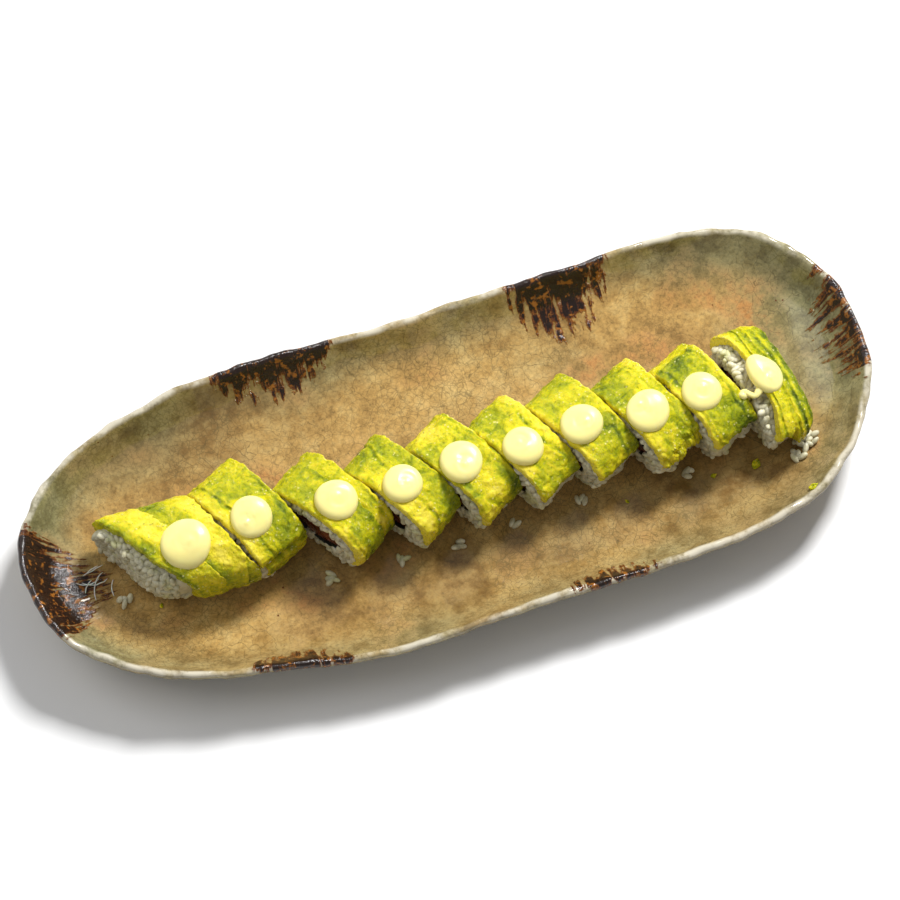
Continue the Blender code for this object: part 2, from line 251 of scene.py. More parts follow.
def crackledGlaze():
    made, tree, shader = startMaterial("crackledGlaze", IOR=1.5)
    place = objectPlace(tree)
    broadNoise = noiseOf(tree, place, 24.0, 6.0, 0.6)
    midNoise = noiseOf(tree, place, 110.0, 6.0, 0.68)
    fineNoise = noiseOf(tree, place, 720.0, 4.0, 0.75)
    pale = rangeOf(tree, midNoise, 0.36, 0.62)
    mottle = mathOf(tree, "MULTIPLY_ADD", midNoise, 0.55, timesOf(tree, broadNoise, 0.45))
    tan = rampOf(tree, mottle, (
        (0.38, glaze["darkTan"]), (0.5, glaze["tan"]), (0.63, glaze["paleTan"])))
    green = mixOf(tree, pale, glaze["darkGreen"], glaze["green"])
    greenShare = mathOf(tree, "ADD", attributeOf(tree, "celadon"), swingOf(tree, midNoise, 0.9),
                        clampIt=True)
    colour = mixOf(tree, greenShare, tan, green)
    blushShare = timesOf(tree, attributeOf(tree, "blush"), rangeOf(tree, midNoise, 0.40, 0.66))
    colour = mixOf(tree, blushShare, colour, glaze["blush"])
    colour = mixOf(tree, 1.0, colour, rampOf(tree, fineNoise, glaze["speckles"]), "MULTIPLY")
    # painted shade in front of the roll, and a brown patch at the back, both mixed in through the
    # brownAndShade attribute
    brown = mixOf(tree, pale, glaze["darkBrownAndShade"], glaze["paleBrownAndShade"])
    colour = mixOf(tree, timesOf(tree, attributeOf(tree, "brownAndShade"), 0.80), colour, brown)

    # nets of fine cracks, each strong in some patches and faint in others
    bend = addNode(tree, "ShaderNodeTexNoise", {
        "Vector": place, "Scale": 150.0, "Detail": 3.0}).outputs["Color"]
    centred = vectorOf(tree, "SUBTRACT", {0: bend, 1: (0.5, 0.5, 0.5)})
    shift = vectorOf(tree, "SCALE", {0: centred, "Scale": glaze["wander"]})
    bent = vectorOf(tree, "ADD", {0: place, 1: shift})
    cracks = 0.0
    for cells, width, patches, strength in glaze["nets"]:
        net = addNode(tree, "ShaderNodeTexVoronoi", {"Vector": bent, "Scale": cells},
                      feature="DISTANCE_TO_EDGE")
        line = rangeOf(tree, net.outputs["Distance"], 0.0, width, strength, 0.0)
        patch = rangeOf(tree, noiseOf(tree, place, patches, 2.0), 0.36, 0.62, 0.08, 1.0)
        cracks = mathOf(tree, "MAXIMUM", timesOf(tree, line, patch), cracks)
    colour = mixOf(tree, cracks, colour, glaze["crack"])

    # pinholes
    dots = addNode(tree, "ShaderNodeTexVoronoi", {"Vector": place, "Scale": 130.0}, feature="F1")
    pin = rangeOf(tree, dots.outputs["Distance"], 0.03, 0.075, 1.0, 0.0)
    rare = rangeOf(tree, noiseOf(tree, place, 55.0, 1.0), 0.56, 0.62)
    colour = mixOf(tree, timesOf(tree, pin, rare), colour, glaze["rust"])

    # the pale lip, thin and broken
    rim = addNode(tree, "ShaderNodeUVMap", uv_map="rimMap").outputs["UV"]
    split = addNode(tree, "ShaderNodeSeparateXYZ", {"Vector": rim})
    inward = split.outputs["Y"]
    lip = timesOf(tree, rangeOf(tree, inward, -0.0028, -0.0010),
                  rangeOf(tree, inward, 0.0002, 0.0022, 1.0, 0.0))
    broken = rangeOf(tree, noiseOf(tree, place, 90.0, 4.0, 0.65), 0.36, 0.62, 0.10, 0.95)
    colour = mixOf(tree, timesOf(tree, lip, broken), colour, glaze["rim"])

    # iron splashes that ran inwards from the rim in streaks
    along = timesOf(tree, split.outputs["X"], glaze["streaks"][0])
    down = timesOf(tree, inward, glaze["streaks"][1])
    runPlace = addNode(tree, "ShaderNodeCombineXYZ", {"X": along, "Y": down}).outputs[0]
    runs = noiseOf(tree, runPlace, 1.0, 4.0, 0.6, 0.4)
    blots = noiseOf(tree, place, 190.0, 5.0, 0.7)
    iron = attributeOf(tree, "iron")
    splash = mathOf(tree, "ADD", iron, swingOf(tree, runs, 2.6))
    splash = mathOf(tree, "ADD", splash, swingOf(tree, blots, 1.5))
    splash = mathOf(tree, "MULTIPLY", splash, rangeOf(tree, iron, 0.02, 0.25), clampIt=True)
    stain = rampOf(tree, splash, ((0.36, glaze["amber"]), (0.50, glaze["rust"]),
                                  (0.64, glaze["iron"]), (1.0, glaze["thickIron"])))
    ember = rangeOf(tree, noiseOf(tree, place, 340.0, 3.0, 0.6), 0.55, 0.66)
    stain = mixOf(tree, timesOf(tree, ember, 0.8), stain, glaze["amber"])
    ironShare = rangeOf(tree, splash, 0.30, 0.46)
    colour = mixOf(tree, ironShare, colour, stain)

    gloss = mathOf(tree, "MULTIPLY_ADD", midNoise, 0.16, 0.06)
    swell = bumpOf(tree, noiseOf(tree, place, 70.0, 2.0), 0.18, 1.0 * mm)
    crusted = timesOf(tree, ironShare, mathOf(tree, "ADD", runs, blots))
    swell = bumpOf(tree, crusted, 0.7, 1.0 * mm, swell)
    dents = bumpOf(tree, mathOf(tree, "SUBTRACT", fineNoise, cracks), 0.10, 0.15 * mm, swell)
    wire(shader, Base_Color=colour, Roughness=gloss, Normal=dents)
    return made


# from dark green by the skin to pale yellow by the stone
avocadoTones = (
    (0.0, (0.08, 0.12, 0.002)), (0.14, (0.18, 0.235, 0.002)), (0.34, (0.37, 0.40, 0.003)),
    (0.57, (0.64, 0.595, 0.006)), (0.80, (0.88, 0.73, 0.020)), (1.0, (0.97, 0.81, 0.07)))
# the colour of the painted glints on the wet flesh
paintedGlintColour = (0.98, 0.93, 0.36)
darkPit = (0.16, 0.19, 0.002)


def avocadoFlesh():
    made, tree, shader = startMaterial(
        "avocadoFlesh", Subsurface_Weight=0.05, Subsurface_Scale=0.8 * mm,
        Subsurface_Radius=(1.0, 0.8, 0.15), IOR=1.40, Specular_IOR_Level=0.42)
    place = objectPlace(tree)
    patches = noiseOf(tree, place, 150.0, 5.0, 0.65, 1.0)
    grain = noiseOf(tree, place, 560.0, 6.0, 0.78)
    tone = mathOf(tree, "ADD", attributeOf(tree, "tone"), swingOf(tree, patches, 1.4))
    tone = mathOf(tree, "ADD", tone, swingOf(tree, grain, 1.0, 0.51), clampIt=True)
    colour = rampOf(tree, tone, avocadoTones)
    # painted highlights: pale flecks that stand in for glints on the wet flesh, and small pits
    bits = addNode(tree, "ShaderNodeTexVoronoi", {"Vector": place, "Scale": 640.0}, feature="F1")
    glintPatch = rangeOf(tree, noiseOf(tree, place, 240.0, 3.0, 0.6), 0.50, 0.64)
    paintedGlint = timesOf(tree, rangeOf(tree, bits.outputs["Distance"], 0.20, 0.32, 0.8, 0.0), glintPatch)
    colour = mixOf(tree, paintedGlint, colour, paintedGlintColour)
    pits = rangeOf(tree, noiseOf(tree, place, 780.0, 2.0), 0.30, 0.37, 0.55, 0.0)
    colour = mixOf(tree, pits, colour, darkPit)
    gloss = rangeOf(tree, noiseOf(tree, place, 300.0, 3.0, 0.6), 0.38, 0.66, 0.12, 0.36)
    lumps = bumpOf(tree, patches, 0.7, 1.2 * mm)
    rough = mathOf(tree, "ADD", grain, timesOf(tree, paintedGlint, 0.4))
    wire(shader, Base_Color=colour, Roughness=gloss, Normal=bumpOf(tree, rough, 0.9, 0.9 * mm, lumps))
    return made


def mayonnaiseCream():
    made, tree, shader = startMaterial(
        "mayonnaiseCream", Subsurface_Weight=0.4, Subsurface_Scale=4 * mm,
        Subsurface_Radius=(1.0, 0.85, 0.5), IOR=1.42, Roughness=0.30)
    place = objectPlace(tree)
    colour = mixOf(tree, noiseOf(tree, place, 160.0, 3.0), (0.95, 0.81, 0.28), (0.97, 0.84, 0.34))
    wire(shader, Base_Color=colour,
         Normal=bumpOf(tree, noiseOf(tree, place, 220.0, 2.0), 0.12, 0.5 * mm))
    return made


def cookedRice():
    made, tree, shader = startMaterial(
        "cookedRice", Subsurface_Weight=0.35, Subsurface_Scale=2.2 * mm,
        Subsurface_Radius=(1.0, 0.95, 0.8), IOR=1.4)
    place = objectPlace(tree)
    colour = rampOf(tree, noiseOf(tree, place, 260.0, 3.0, 0.6), (
        (0.3, (0.42, 0.39, 0.25)), (0.5, (0.64, 0.60, 0.42)), (0.72, (0.85, 0.81, 0.63))))
    stain = rangeOf(tree, noiseOf(tree, place, 130.0, 2.0), 0.54, 0.68, 0.0, 0.45)
    wire(shader, Base_Color=mixOf(tree, stain, colour, (0.42, 0.44, 0.09)),
         Roughness=rangeOf(tree, noiseOf(tree, place, 500.0), 0.3, 0.7, 0.22, 0.5),
         Normal=bumpOf(tree, noiseOf(tree, place, 800.0, 2.0), 0.25, 0.3 * mm))
    return made


def dampNori():
    made, tree, shader = startMaterial("dampNori", IOR=1.45)
    place = objectPlace(tree)
    wire(shader,
         Base_Color=mixOf(tree, noiseOf(tree, place, 700.0, 4.0),
                          (0.006, 0.009, 0.006), (0.022, 0.030, 0.018)),
         Roughness=rangeOf(tree, noiseOf(tree, place, 300.0), 0.3, 0.7, 0.25, 0.6),
         Normal=bumpOf(tree, noiseOf(tree, place, 900.0, 3.0), 0.6, 0.4 * mm))
    return made


def redBrownFilling():
    made, tree, shader = startMaterial(
        "redBrownFilling", Subsurface_Weight=0.1, Subsurface_Scale=2 * mm,
        Subsurface_Radius=(1.0, 0.3, 0.1), IOR=1.42)
    place = objectPlace(tree)
    fibres = addNode(tree, "ShaderNodeTexWave", {
        "Vector": place, "Scale": 130.0, "Distortion": 6.0, "Detail": 3.0}).outputs["Fac"]
    colour = rampOf(tree, noiseOf(tree, place, 240.0, 4.0, 0.6), (
        (0.3, (0.050, 0.012, 0.006)), (0.5, (0.17, 0.036, 0.012)), (0.72, (0.30, 0.09, 0.03))))
    wire(shader, Base_Color=mixOf(tree, timesOf(tree, fibres, 0.4), colour, (0.08, 0.016, 0.008)),
         Roughness=rangeOf(tree, noiseOf(tree, place, 300.0), 0.3, 0.7, 0.15, 0.4),
         Normal=bumpOf(tree, fibres, 0.35, 0.5 * mm))
    return made


def plainMaterial(name, scale, dark, pale, **values):
    # one colour that varies a little
    made, tree, shader = startMaterial(name, **values)
    wire(shader, Base_Color=mixOf(tree, noiseOf(tree, objectPlace(tree), scale), dark, pale))
    return made


glazeMaterial = crackledGlaze()
avocadoMaterial = avocadoFlesh()
mayoMaterial = mayonnaiseCream()
riceMaterial = cookedRice()
noriMaterial = dampNori()
fillingMaterial = redBrownFilling()
print("materials made")


# the dish: one shell of rings, from the middle of the floor over the rim and under to the foot

dish = {
    "length": 339 * mm, "width": 131 * mm, "leftEnd": 100 * mm, "rightEnd": 80 * mm,
    "rightSquareness": 2.3, "bow": 4.5 * mm,
    "dent": 0.075, "dentAt": -95 * mm, "dentSpread": 38 * mm,
    "endSteps": 150, "sideSteps": 100, "ringStep": 1.4 * mm,
    # (inside the outline, height, share of the rim's unevenness), all but the shares in mm
    "profile": ((64.3, 10.0, 0), (52, 9.8, 0), (44, 9.85, 0), (38, 10.0, 0), (29.6, 10.5, 0.05),
                (19.8, 12.2, 0.1), (12.2, 15.2, 0.25), (7.8, 19.2, 0.6), (5.0, 22.8, 0.9),
                (3.4, 24.9, 1), (2.6, 25.8, 1), (1.8, 26.2, 1), (0.9, 26.1, 1), (0.3, 25.5, 1),
                (0.0, 24.5, 1), (0.2, 23.2, 1), (1.0, 21.2, 1), (3.4, 16.6, 0.7), (8.6, 9.6, 0.4),
                (16.7, 5.6, 0.1), (25.6, 4.1, 0), (26.7, 3.6, 0), (27.0, 0.6, 0), (27.3, 0.1, 0),
                (27.9, 0.0, 0), (29.0, 0.0, 0), (30.2, 0.0, 0), (30.8, 0.1, 0), (31.1, 0.6, 0),
                (31.6, 3.4, 0), (33, 4.0, 0), (38, 4.0, 0)),
    # waves round the rim: how many, size in mm, phase
    "swell": ((1, 1.2, 1.57), (3, 0.7, 0.6), (7, 0.5, 2.1), (12, 0.4, 4.0)),
    "lift": ((2, 1.2, 1.57), (4, 0.6, 1.0), (9, 0.5, 2.6)),
    # pinches left by the maker's fingers: length, size and seed, in mm, outwards and upwards
    "pinches": ((14, 0.6, 3), (5, 0.32, 5)),
    "rises": ((12, 0.6, 8), (5, 0.22, 9)),
    # iron splashes: middle on the rim, half length along it, reach inwards and strength
    "splashes": ((-165, 3, 26, 34, 1.30), (-51, 62, 26, 20, 1.10), (66, 62, 23, 28, 1.20),
                 (166, 9, 27, 34, 0.74), (47, -64, 20, 17, 0.80), (-76, -57, 22, 16, 1.0)),
    # patches on the floor: middle and radii in mm
    "greenPatch": (142, 14, 20, 26), "brownPatch": (-84, 48, 34, 16),
    # the painted shade along the front, where the roll's shadow falls: its middle and half width, where
    # it darkens, starts and ends
    "shadeBandAt": -40, "shadeBandHalf": 17, "shadeBandDark": (-60, 0), "shadeBandStart": (-120, -80),
    "shadeBandEnd": (146, 116),
}


def waves(table, angle):
    return sum(size * math.sin(count * angle + phase) for count, size, phase in table) * mm


def power(value, exponent):
    return math.copysign(abs(value) ** exponent, value)


def dishStations():
    stations = []
    quarter = math.pi / 2
    for side, start in ((1, -quarter), (-1, quarter)):
        stations += [(side, start + math.pi * i / dish["endSteps"]) for i in range(dish["endSteps"])]
        stations += [(side * (1 - 2 * i / dish["sideSteps"]), start + math.pi)
                     for i in range(dish["sideSteps"])]
    return stations


def pinched(table, x, y):
    return sum(size * ripple(x / (length * mm), y / (length * mm), seed=seed)
               for length, size, seed in table) * mm


def dishPoint(inset, height, uneven, station):
    share, angle = station
    length, width = dish["length"], dish["width"]
    end, exponent = dish["leftEnd"], 1.0
    if share == 1:
        end, exponent = dish["rightEnd"], 2 / dish["rightSquareness"]
    left, right = dish["leftEnd"] - length / 2, length / 2 - dish["rightEnd"]
    c, s = math.cos(angle), math.sin(angle)
    x = blend(left, right, (share + 1) / 2) + (end - inset) * power(c, exponent)
    y = (width / 2 - inset) * power(s, exponent)
    if y < 0:
        y *= 1 - dish["dent"] * math.exp(-((x - dish["dentAt"]) / dish["dentSpread"]) ** 2)
    y += dish["bow"] * (2 * x / length) ** 2
    place = math.atan2(y / width, x / length)
    out = (waves(dish["swell"], place) + pinched(dish["pinches"], x, y)) * uneven
    up = (waves(dish["lift"], place) + pinched(dish["rises"], x, y)) * uneven
    return Vector((x + c * out, y + s * out, max(0.0, height + up)))


def curveThrough(rows, step):
    # points on a smooth curve through rows, about a step apart in the first two numbers
    made = []
    for i in range(len(rows) - 1):
        a, b = rows[i], rows[i + 1]
        before, after = rows[max(i - 1, 0)], rows[min(i + 2, len(rows) - 1)]
        span = math.hypot(b[0] - a[0], b[1] - a[1])
        count = max(1, round(span / step))
        for j in range(count):
            t = j / count
            made.append(tuple(
                0.5 * (2 * q + (r - p) * t + (2 * p - 5 * q + 4 * r - s) * t * t
                       + (3 * q - p - 3 * r + s) * t ** 3)
                for p, q, r, s in zip(before, a, b, after)))
    return made + [rows[-1]]


def dishTones(x, y, inward):
    # how green and red the glaze is here, and how much brown and painted shade it takes, from 0 to 1;
    # all in mm
    wall = 1 - smooth(8, 30, inward)
    ends = smooth(112, 160, abs(x + 8)) * (0.75 if x < 0 else 0.35)
    ends += 0.55 * bell(x, y, *dish["greenPatch"])
    patch = 0.30 * ripple(x / 34, y / 22, seed=12)
    celadon = clamp(0.62 * wall + ends + patch - 0.10) if inward > -1 else 0.7
    # painted shade in a band along the front of the floor, where the roll's shadow falls; a brown patch
    # at the back
    front = math.exp(-((y - dish["shadeBandAt"]) / dish["shadeBandHalf"]) ** 2)
    front *= blend(0.35, 1.0, smooth(*dish["shadeBandDark"], x))
    front *= smooth(*dish["shadeBandStart"], x) * smooth(*dish["shadeBandEnd"], x)
    back = bell(x, y, *dish["brownPatch"])
    brownAndShade = clamp((front + back) * (0.75 + 0.4 * ripple(x / 20, y / 12, seed=31)))
    blush = smooth(0.1, 0.7, ripple(x / 26, y / 16, seed=21))
    return celadon, brownAndShade, clamp(0.9 * blush * (1 - 0.7 * wall))


def makeDish():
    low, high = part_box("dish")
    stations = dishStations()
    rings = curveThrough(dish["profile"], dish["ringStep"] / mm)
    rim = [dishPoint(0, 0, 0, station) for station in stations]
    aroundRim = [0.0]
    for a, b in zip(rim, rim[1:]):
        aroundRim.append(aroundRim[-1] + (b - a).length)
    # how far each ring lies in from the lip, over the glaze; outside the lip below 0
    lipIndex = max(range(len(rings)), key=lambda i: rings[i][1])
    inwardOf = [0.0] * len(rings)
    for direction in (-1, 1):
        i = lipIndex
        while 0 <= i + direction < len(rings):
            there, here = rings[i + direction], rings[i]
            step = math.hypot(there[0] - here[0], there[1] - here[1])
            inwardOf[i + direction] = inwardOf[i] - direction * step * mm
            i += direction
    points, corners = [], []
    floats = {"iron": [], "celadon": [], "blush": [], "brownAndShade": []}
    for (inset, height, uneven), inward in zip(rings, inwardOf):
        for station, around, edge in zip(stations, aroundRim, rim):
            point = dishPoint(inset * mm, height * mm, clamp(uneven), station)
            points.append(point)
            corners.append((around, inward))
            stain = 0.0
            for sx, sy, half, reach, strength in dish["splashes"]:
                apart = (edge - Vector((sx * mm, sy * mm, 0))).length / (half * mm)
                depth = max(inward, -inward * 2.5) / (reach * mm)
                body = strength * (1 - 0.45 * apart ** 2 - 0.30 * apart ** 6)
                stain = max(stain, body - 0.95 * depth)
            celadon, brownAndShade, blush = dishTones(point.x / mm, point.y / mm, inward / mm)
            for key, value in (("iron", stain), ("celadon", celadon), ("blush", blush),
                               ("brownAndShade", brownAndShade)):
                floats[key].append(value)
    count = len(stations)
    faces = gridFaces(len(rings), count, closed=True)
    faces.append(tuple(range(count)))
    faces.append(tuple(range((len(rings) - 1) * count, len(rings) * count)))
    middle = [(min(p[i] for p in points) + max(p[i] for p in points)) / 2 for i in (0, 1)]
    boxMiddle = (low + high) / 2
    shift = Vector((boxMiddle.x - middle[0], boxMiddle.y - middle[1], 0))
    piece = makePiece("dishGlazed", [p + shift for p in points], faces, glazeMaterial, floats,
                      corners, 60)
    addPiece(piece, "stoneware", "dish")
    return piece


dishPiece = makeDish()
dishTree = BVHTree.FromPolygons([v.co for v in dishPiece.data.vertices],
                                [p.vertices for p in dishPiece.data.polygons])
print("dish made", len(dishPiece.data.polygons), "faces")


def floorAt(x, y):
    hit = dishTree.ray_cast(Vector((x, y, 0.1)), Vector((0, 0, -1)))[0]
    return hit.z if hit else 0.01


# the roll: what all slices share, then each slice by itself

roll = {
    "width": 37.4 * mm, "height": 25.5 * mm, "flat": 1.0 * mm, "squareness": 2.6,
    "coreHeight": 12.6 * mm, "noriWidth": 24 * mm, "noriHeight": 15.4 * mm, "noriThick": 0.6 * mm,
    "endRice": 4 * mm, "leftSkew": 10.0, "leftSlide": 16 * mm, "frontSpread": 1.4,
    "avocadoThick": 3.3 * mm, "avocadoEdge": 0.30,
    "grainLength": 5.4 * mm, "grainWidth": 2.7 * mm, "grainGap": 1.9 * mm,
    "taperAt": (0.0, 0.4, 0.75, 1.0), "leftTaper": (1.0, 0.99, 0.96, 0.88),
    "rightTaper": (1.0, 0.97, 0.88, 0.74),
}

# cover: start angle, end angle, left side, right side, bow of the left edge. splay: what the left and
# the right edge gain at the front and back. tones: (sweep from 0 at the front to 1 at the back, side
# from 0 left to 1 right, radii of both, tone from 0 for dark green to 1 for yellow). seams: where the
# edge of one thin slice lies on the next, as (sweep, side) to (sweep, side) and the step in mm, with
# the thicker slice to the right of the line. lumps: (angle, side, push in mm) of the rice
slices = {
    1: {"yaw": 24, "thick": 33, "lumps": ((-20, 0.15, 1.0), (5, 0.05, 1.0)), "parts": {
        "a": {"cover": (-24, 196, 0.12, 0.53, 0.0), "splay": (0.16, -0.02, 0.1, 0.0), "lift": 0.6,
              "tones": ((0.5, 0.0, 0.9, 0.16, 0.14), (0.6, 0.75, 0.35, 0.5, 0.92),
                        (0.25, 0.8, 0.15, 0.4, 0.72), (0.05, 0.5, 0.1, 0.6, 0.42),
                        (0.9, 0.5, 0.1, 0.5, 0.85))},
        "b": {"cover": (-18, 184, 0.5, 1.0, 0.0), "splay": (0.06, 0.02, 0.06, 0.0),
              "seams": ((0.4, 1.0, 0.02, 0.5, 0.6),),
              "tones": ((0.8, 0.2, 0.2, 0.35, 0.22), (0.7, 0.85, 0.3, 0.3, 0.95),
                        (0.33, 0.55, 0.12, 0.28, 0.97), (0.22, 0.1, 0.15, 0.25, 0.25),
                        (0.1, 0.9, 0.12, 0.4, 0.4))}}},
    2: {"yaw": 26, "thick": 22.6, "lumps": ((-25, 0.2, 2.5), (0, 0.12, 1.5), (172, 0.1, 1.2)),
        "parts": {
        "a": {"cover": (12, 186, 0.0, 1.0, 0.0), "lift": 0.2,
              "seams": ((0.0, 0.3, 1.0, 0.16, 0.45),),
              "tones": ((0.35, 0.08, 0.4, 0.16, 0.97), (0.85, 0.35, 0.12, 0.4, 0.66),
                        (0.7, 0.8, 0.15, 0.3, 0.6), (0.5, 0.5, 0.15, 0.2, 0.45),
                        (0.15, 0.8, 0.2, 0.35, 0.28), (0.98, 0.5, 0.05, 0.6, 0.55))},
        "b": {"cover": (-30, 9, 0.1, 1.0, 0.0), "lift": -0.5,
              "tones": ((0.5, 0.9, 0.5, 0.3, 0.72), (0.3, 0.3, 0.4, 0.4, 0.4))}}},
    3: {"yaw": 34, "thick": 21.6, "lumps": ((-28, 0.15, 3.0), (-5, 0.05, 1.6), (175, 0.8, 1.6)),
        "parts": {
        "a": {"cover": (-22, 182, 0.0, 0.68, 0.0), "lift": 0.3,
              "seams": ((0.0, 0.22, 0.45, 0.1, 0.3),),
              "tones": ((0.95, 0.5, 0.08, 0.6, 0.92), (0.72, 0.4, 0.16, 0.45, 0.35),
                        (0.4, 0.12, 0.2, 0.2, 0.8), (0.15, 0.6, 0.15, 0.4, 0.3),
                        (0.12, 0.05, 0.2, 0.12, 0.9), (0.45, 0.95, 0.35, 0.12, 0.12))},
        "b": {"cover": (-24, 176, 0.66, 1.0, 0.0), "lift": -0.3,
              "seams": ((0.0, 0.55, 0.5, 0.9, 0.4),),
              "tones": ((0.25, 0.4, 0.14, 0.6, 0.95), (0.6, 0.6, 0.3, 0.6, 0.62),
                        (0.07, 0.8, 0.1, 0.5, 0.25))}}},
    4: {"yaw": 32.5, "thick": 20.3, "lumps": ((-25, 0.15, 2.6), (-18, 0.75, 1.6), (172, 0.1, 2.0)),
        "parts": {
        "a": {"cover": (-12, 180, 0.0, 1.0, 0.0),
              "seams": ((0.0, 0.34, 1.0, 0.62, 0.35),),
              "tones": ((0.5, 0.18, 0.22, 0.28, 0.98), (0.22, 0.15, 0.2, 0.22, 0.88),
                        (0.82, 0.5, 0.14, 0.6, 0.3), (0.35, 0.85, 0.25, 0.25, 0.34),
                        (0.12, 0.85, 0.14, 0.3, 0.14), (0.97, 0.3, 0.05, 0.4, 0.75))}}},
    5: {"yaw": 30, "thick": 20.3, "lumps": ((-20, 0.15, 2.0), (-24, 0.6, 1.8), (178, 0.2, 1.4)),
        "parts": {
        "a": {"cover": (-8, 184, 0.0, 1.0, 0.0),
              "seams": ((1.0, 0.86, 0.3, 0.94, 0.4), (0.32, 0.0, 0.0, 0.55, 0.4)),
              "tones": ((0.78, 0.5, 0.13, 0.35, 0.95), (0.97, 0.7, 0.06, 0.5, 0.4),
                        (0.58, 0.08, 0.14, 0.22, 0.35), (0.27, 0.45, 0.14, 0.25, 0.9),
                        (0.14, 0.9, 0.18, 0.22, 0.12), (0.1, 0.2, 0.12, 0.2, 0.8),
                        (0.6, 0.95, 0.3, 0.1, 0.72))}}},
    6: {"yaw": 28.5, "thick": 20.2, "lumps": ((-20, 0.2, 1.8), (5, 0.1, 1.2), (174, 0.15, 1.8)),
        "parts": {
        "a": {"cover": (5, 180, 0.0, 1.0, 0.0),
              "seams": ((1.0, 0.72, 0.25, 0.82, 0.45),),
              "tones": ((0.6, 0.93, 0.4, 0.12, 0.97), (0.72, 0.3, 0.18, 0.3, 0.36),
                        (0.45, 0.05, 0.15, 0.15, 0.85), (0.3, 0.6, 0.12, 0.25, 0.7),
                        (0.1, 0.85, 0.14, 0.25, 0.26), (0.12, 0.2, 0.1, 0.2, 0.55),
                        (0.95, 0.5, 0.06, 0.5, 0.55))}}},
    7: {"yaw": 27.5, "thick": 20.6, "lumps": ((-25, 0.55, 2.8), (0, 0.2, 1.5), (172, 0.1, 2.0)),
        "parts": {
        "a": {"cover": (5, 176, 0.0, 1.0, 0.0), "lift": 0.2,
              "seams": ((0.0, 0.62, 0.42, 1.0, 0.4),),
              "tones": ((0.45, 0.03, 0.5, 0.07, 0.97), (0.85, 0.4, 0.15, 0.5, 0.4),
                        (0.6, 0.5, 0.12, 0.3, 0.58), (0.5, 0.95, 0.3, 0.12, 0.62),
                        (0.2, 0.4, 0.12, 0.3, 0.55), (0.1, 0.9, 0.16, 0.2, 0.2))}}},
    8: {"yaw": 25, "thick": 20.2,
        "lumps": ((-22, 0.3, 3.2), (0, 0.12, 2.0), (-35, 0.7, 1.5), (168, 0.1, 1.8)),
        "parts": {
        "a": {"cover": (0, 178, 0.0, 1.0, 0.0), "lift": 0.1, "mash": 1.0,
              "seams": ((1.0, 0.8, 0.35, 0.84, 0.45),),
              "tones": ((0.68, 0.12, 0.18, 0.22, 0.16), (0.72, 0.92, 0.4, 0.14, 0.92),
                        (0.5, 0.6, 0.1, 0.3, 0.66), (0.4, 0.95, 0.18, 0.15, 0.3),
                        (0.3, 0.08, 0.2, 0.14, 0.85), (0.08, 0.5, 0.1, 0.4, 0.66),
                        (0.9, 0.4, 0.06, 0.4, 0.36))}}},
    9: {"yaw": 23, "thick": 19.8, "lumps": ((-20, 0.25, 3.0), (5, 0.1, 1.5), (-15, 0.8, 1.6)),
        "parts": {
        "a": {"cover": (10, 142, 0.0, 1.0, 0.0), "lift": 0.6,
              "seams": ((0.0, 0.14, 0.9, 0.1, 0.4), (0.95, 0.84, 0.1, 0.86, -0.3)),
              "tones": ((0.55, 0.97, 0.6, 0.1, 0.98), (0.85, 0.4, 0.16, 0.4, 0.14),
                        (0.3, 0.03, 0.4, 0.09, 0.95), (0.3, 0.7, 0.2, 0.35, 0.22),
                        (0.08, 0.8, 0.1, 0.3, 0.1), (0.5, 0.4, 0.2, 0.3, 0.36))},
        "b": {"cover": (138, 184, 0.0, 1.0, 0.0), "lift": -0.6,
              "tones": ((0.4, 0.5, 0.6, 0.6, 0.66), (0.9, 0.9, 0.2, 0.3, 0.45))}}},
    10: {"yaw": 12, "thick": 19, "lumps": ((-20, 0.9, 3.0), (10, 0.1, 1.0)), "parts": {
        "a": {"cover": (14, 186, 0.04, 0.6, 0.26), "lift": 0.1,
              "seams": ((0.0, 0.4, 1.0, 0.5, 0.5),),
              "tones": ((0.6, 0.1, 0.5, 0.22, 0.96), (0.75, 0.7, 0.2, 0.3, 0.4),
                        (0.95, 0.4, 0.08, 0.5, 0.9), (0.3, 0.8, 0.2, 0.4, 0.6))},
        "b": {"cover": (-22, 178, 0.5, 1.0, 0.0), "lift": 0.5,
              "seams": ((0.0, 0.3, 0.9, 0.2, 0.5), (0.0, 0.62, 0.85, 0.55, 0.4)),
              "tones": ((0.3, 0.25, 0.4, 0.12, 0.72), (0.3, 0.5, 0.5, 0.1, 0.16),
                        (0.5, 0.95, 0.6, 0.2, 0.08), (0.9, 0.4, 0.12, 0.5, 0.92),
                        (0.6, 0.4, 0.2, 0.2, 0.3))}}},
}


def placeOf(number):
    # the slice's middle on the dish, and the matrix that sets it there
    low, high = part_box(f"nori_{number:02d}")
    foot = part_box(f"rice_{number:02d}")[0].z
    middle = (low + high) / 2
    turn = Matrix.Rotation(math.radians(slices[number]["yaw"]), 4, "Z")
    core = slid(number, Vector((sum(coreSpan(number)) / 2, 0, 0)))
    return Matrix.Translation(Vector((middle.x, middle.y, foot))) @ turn @ Matrix.Translation(-core)


def coreSpan(number):
    # where the nori and filling start and end along a slice: short of the roll's own two ends
    half = slices[number]["thick"] * mm / 2
    return -half + roll["endRice"] * (number == 1), half - roll["endRice"] * (number == len(slices))


def sizeAt(number, side):
    # how large the section is at this share of the thickness: an end slice narrows outwards
    if number not in (1, len(slices)):
        return 1.0
    out = 1 - side if number == 1 else side
    at, size = roll["taperAt"], roll["leftTaper"] if number == 1 else roll["rightTaper"]
    for a, b, p, q in zip(at, at[1:], size, size[1:]):
        if out <= b:
            return blend(p, q, clamp((out - a) / (b - a)))
    return size[-1]


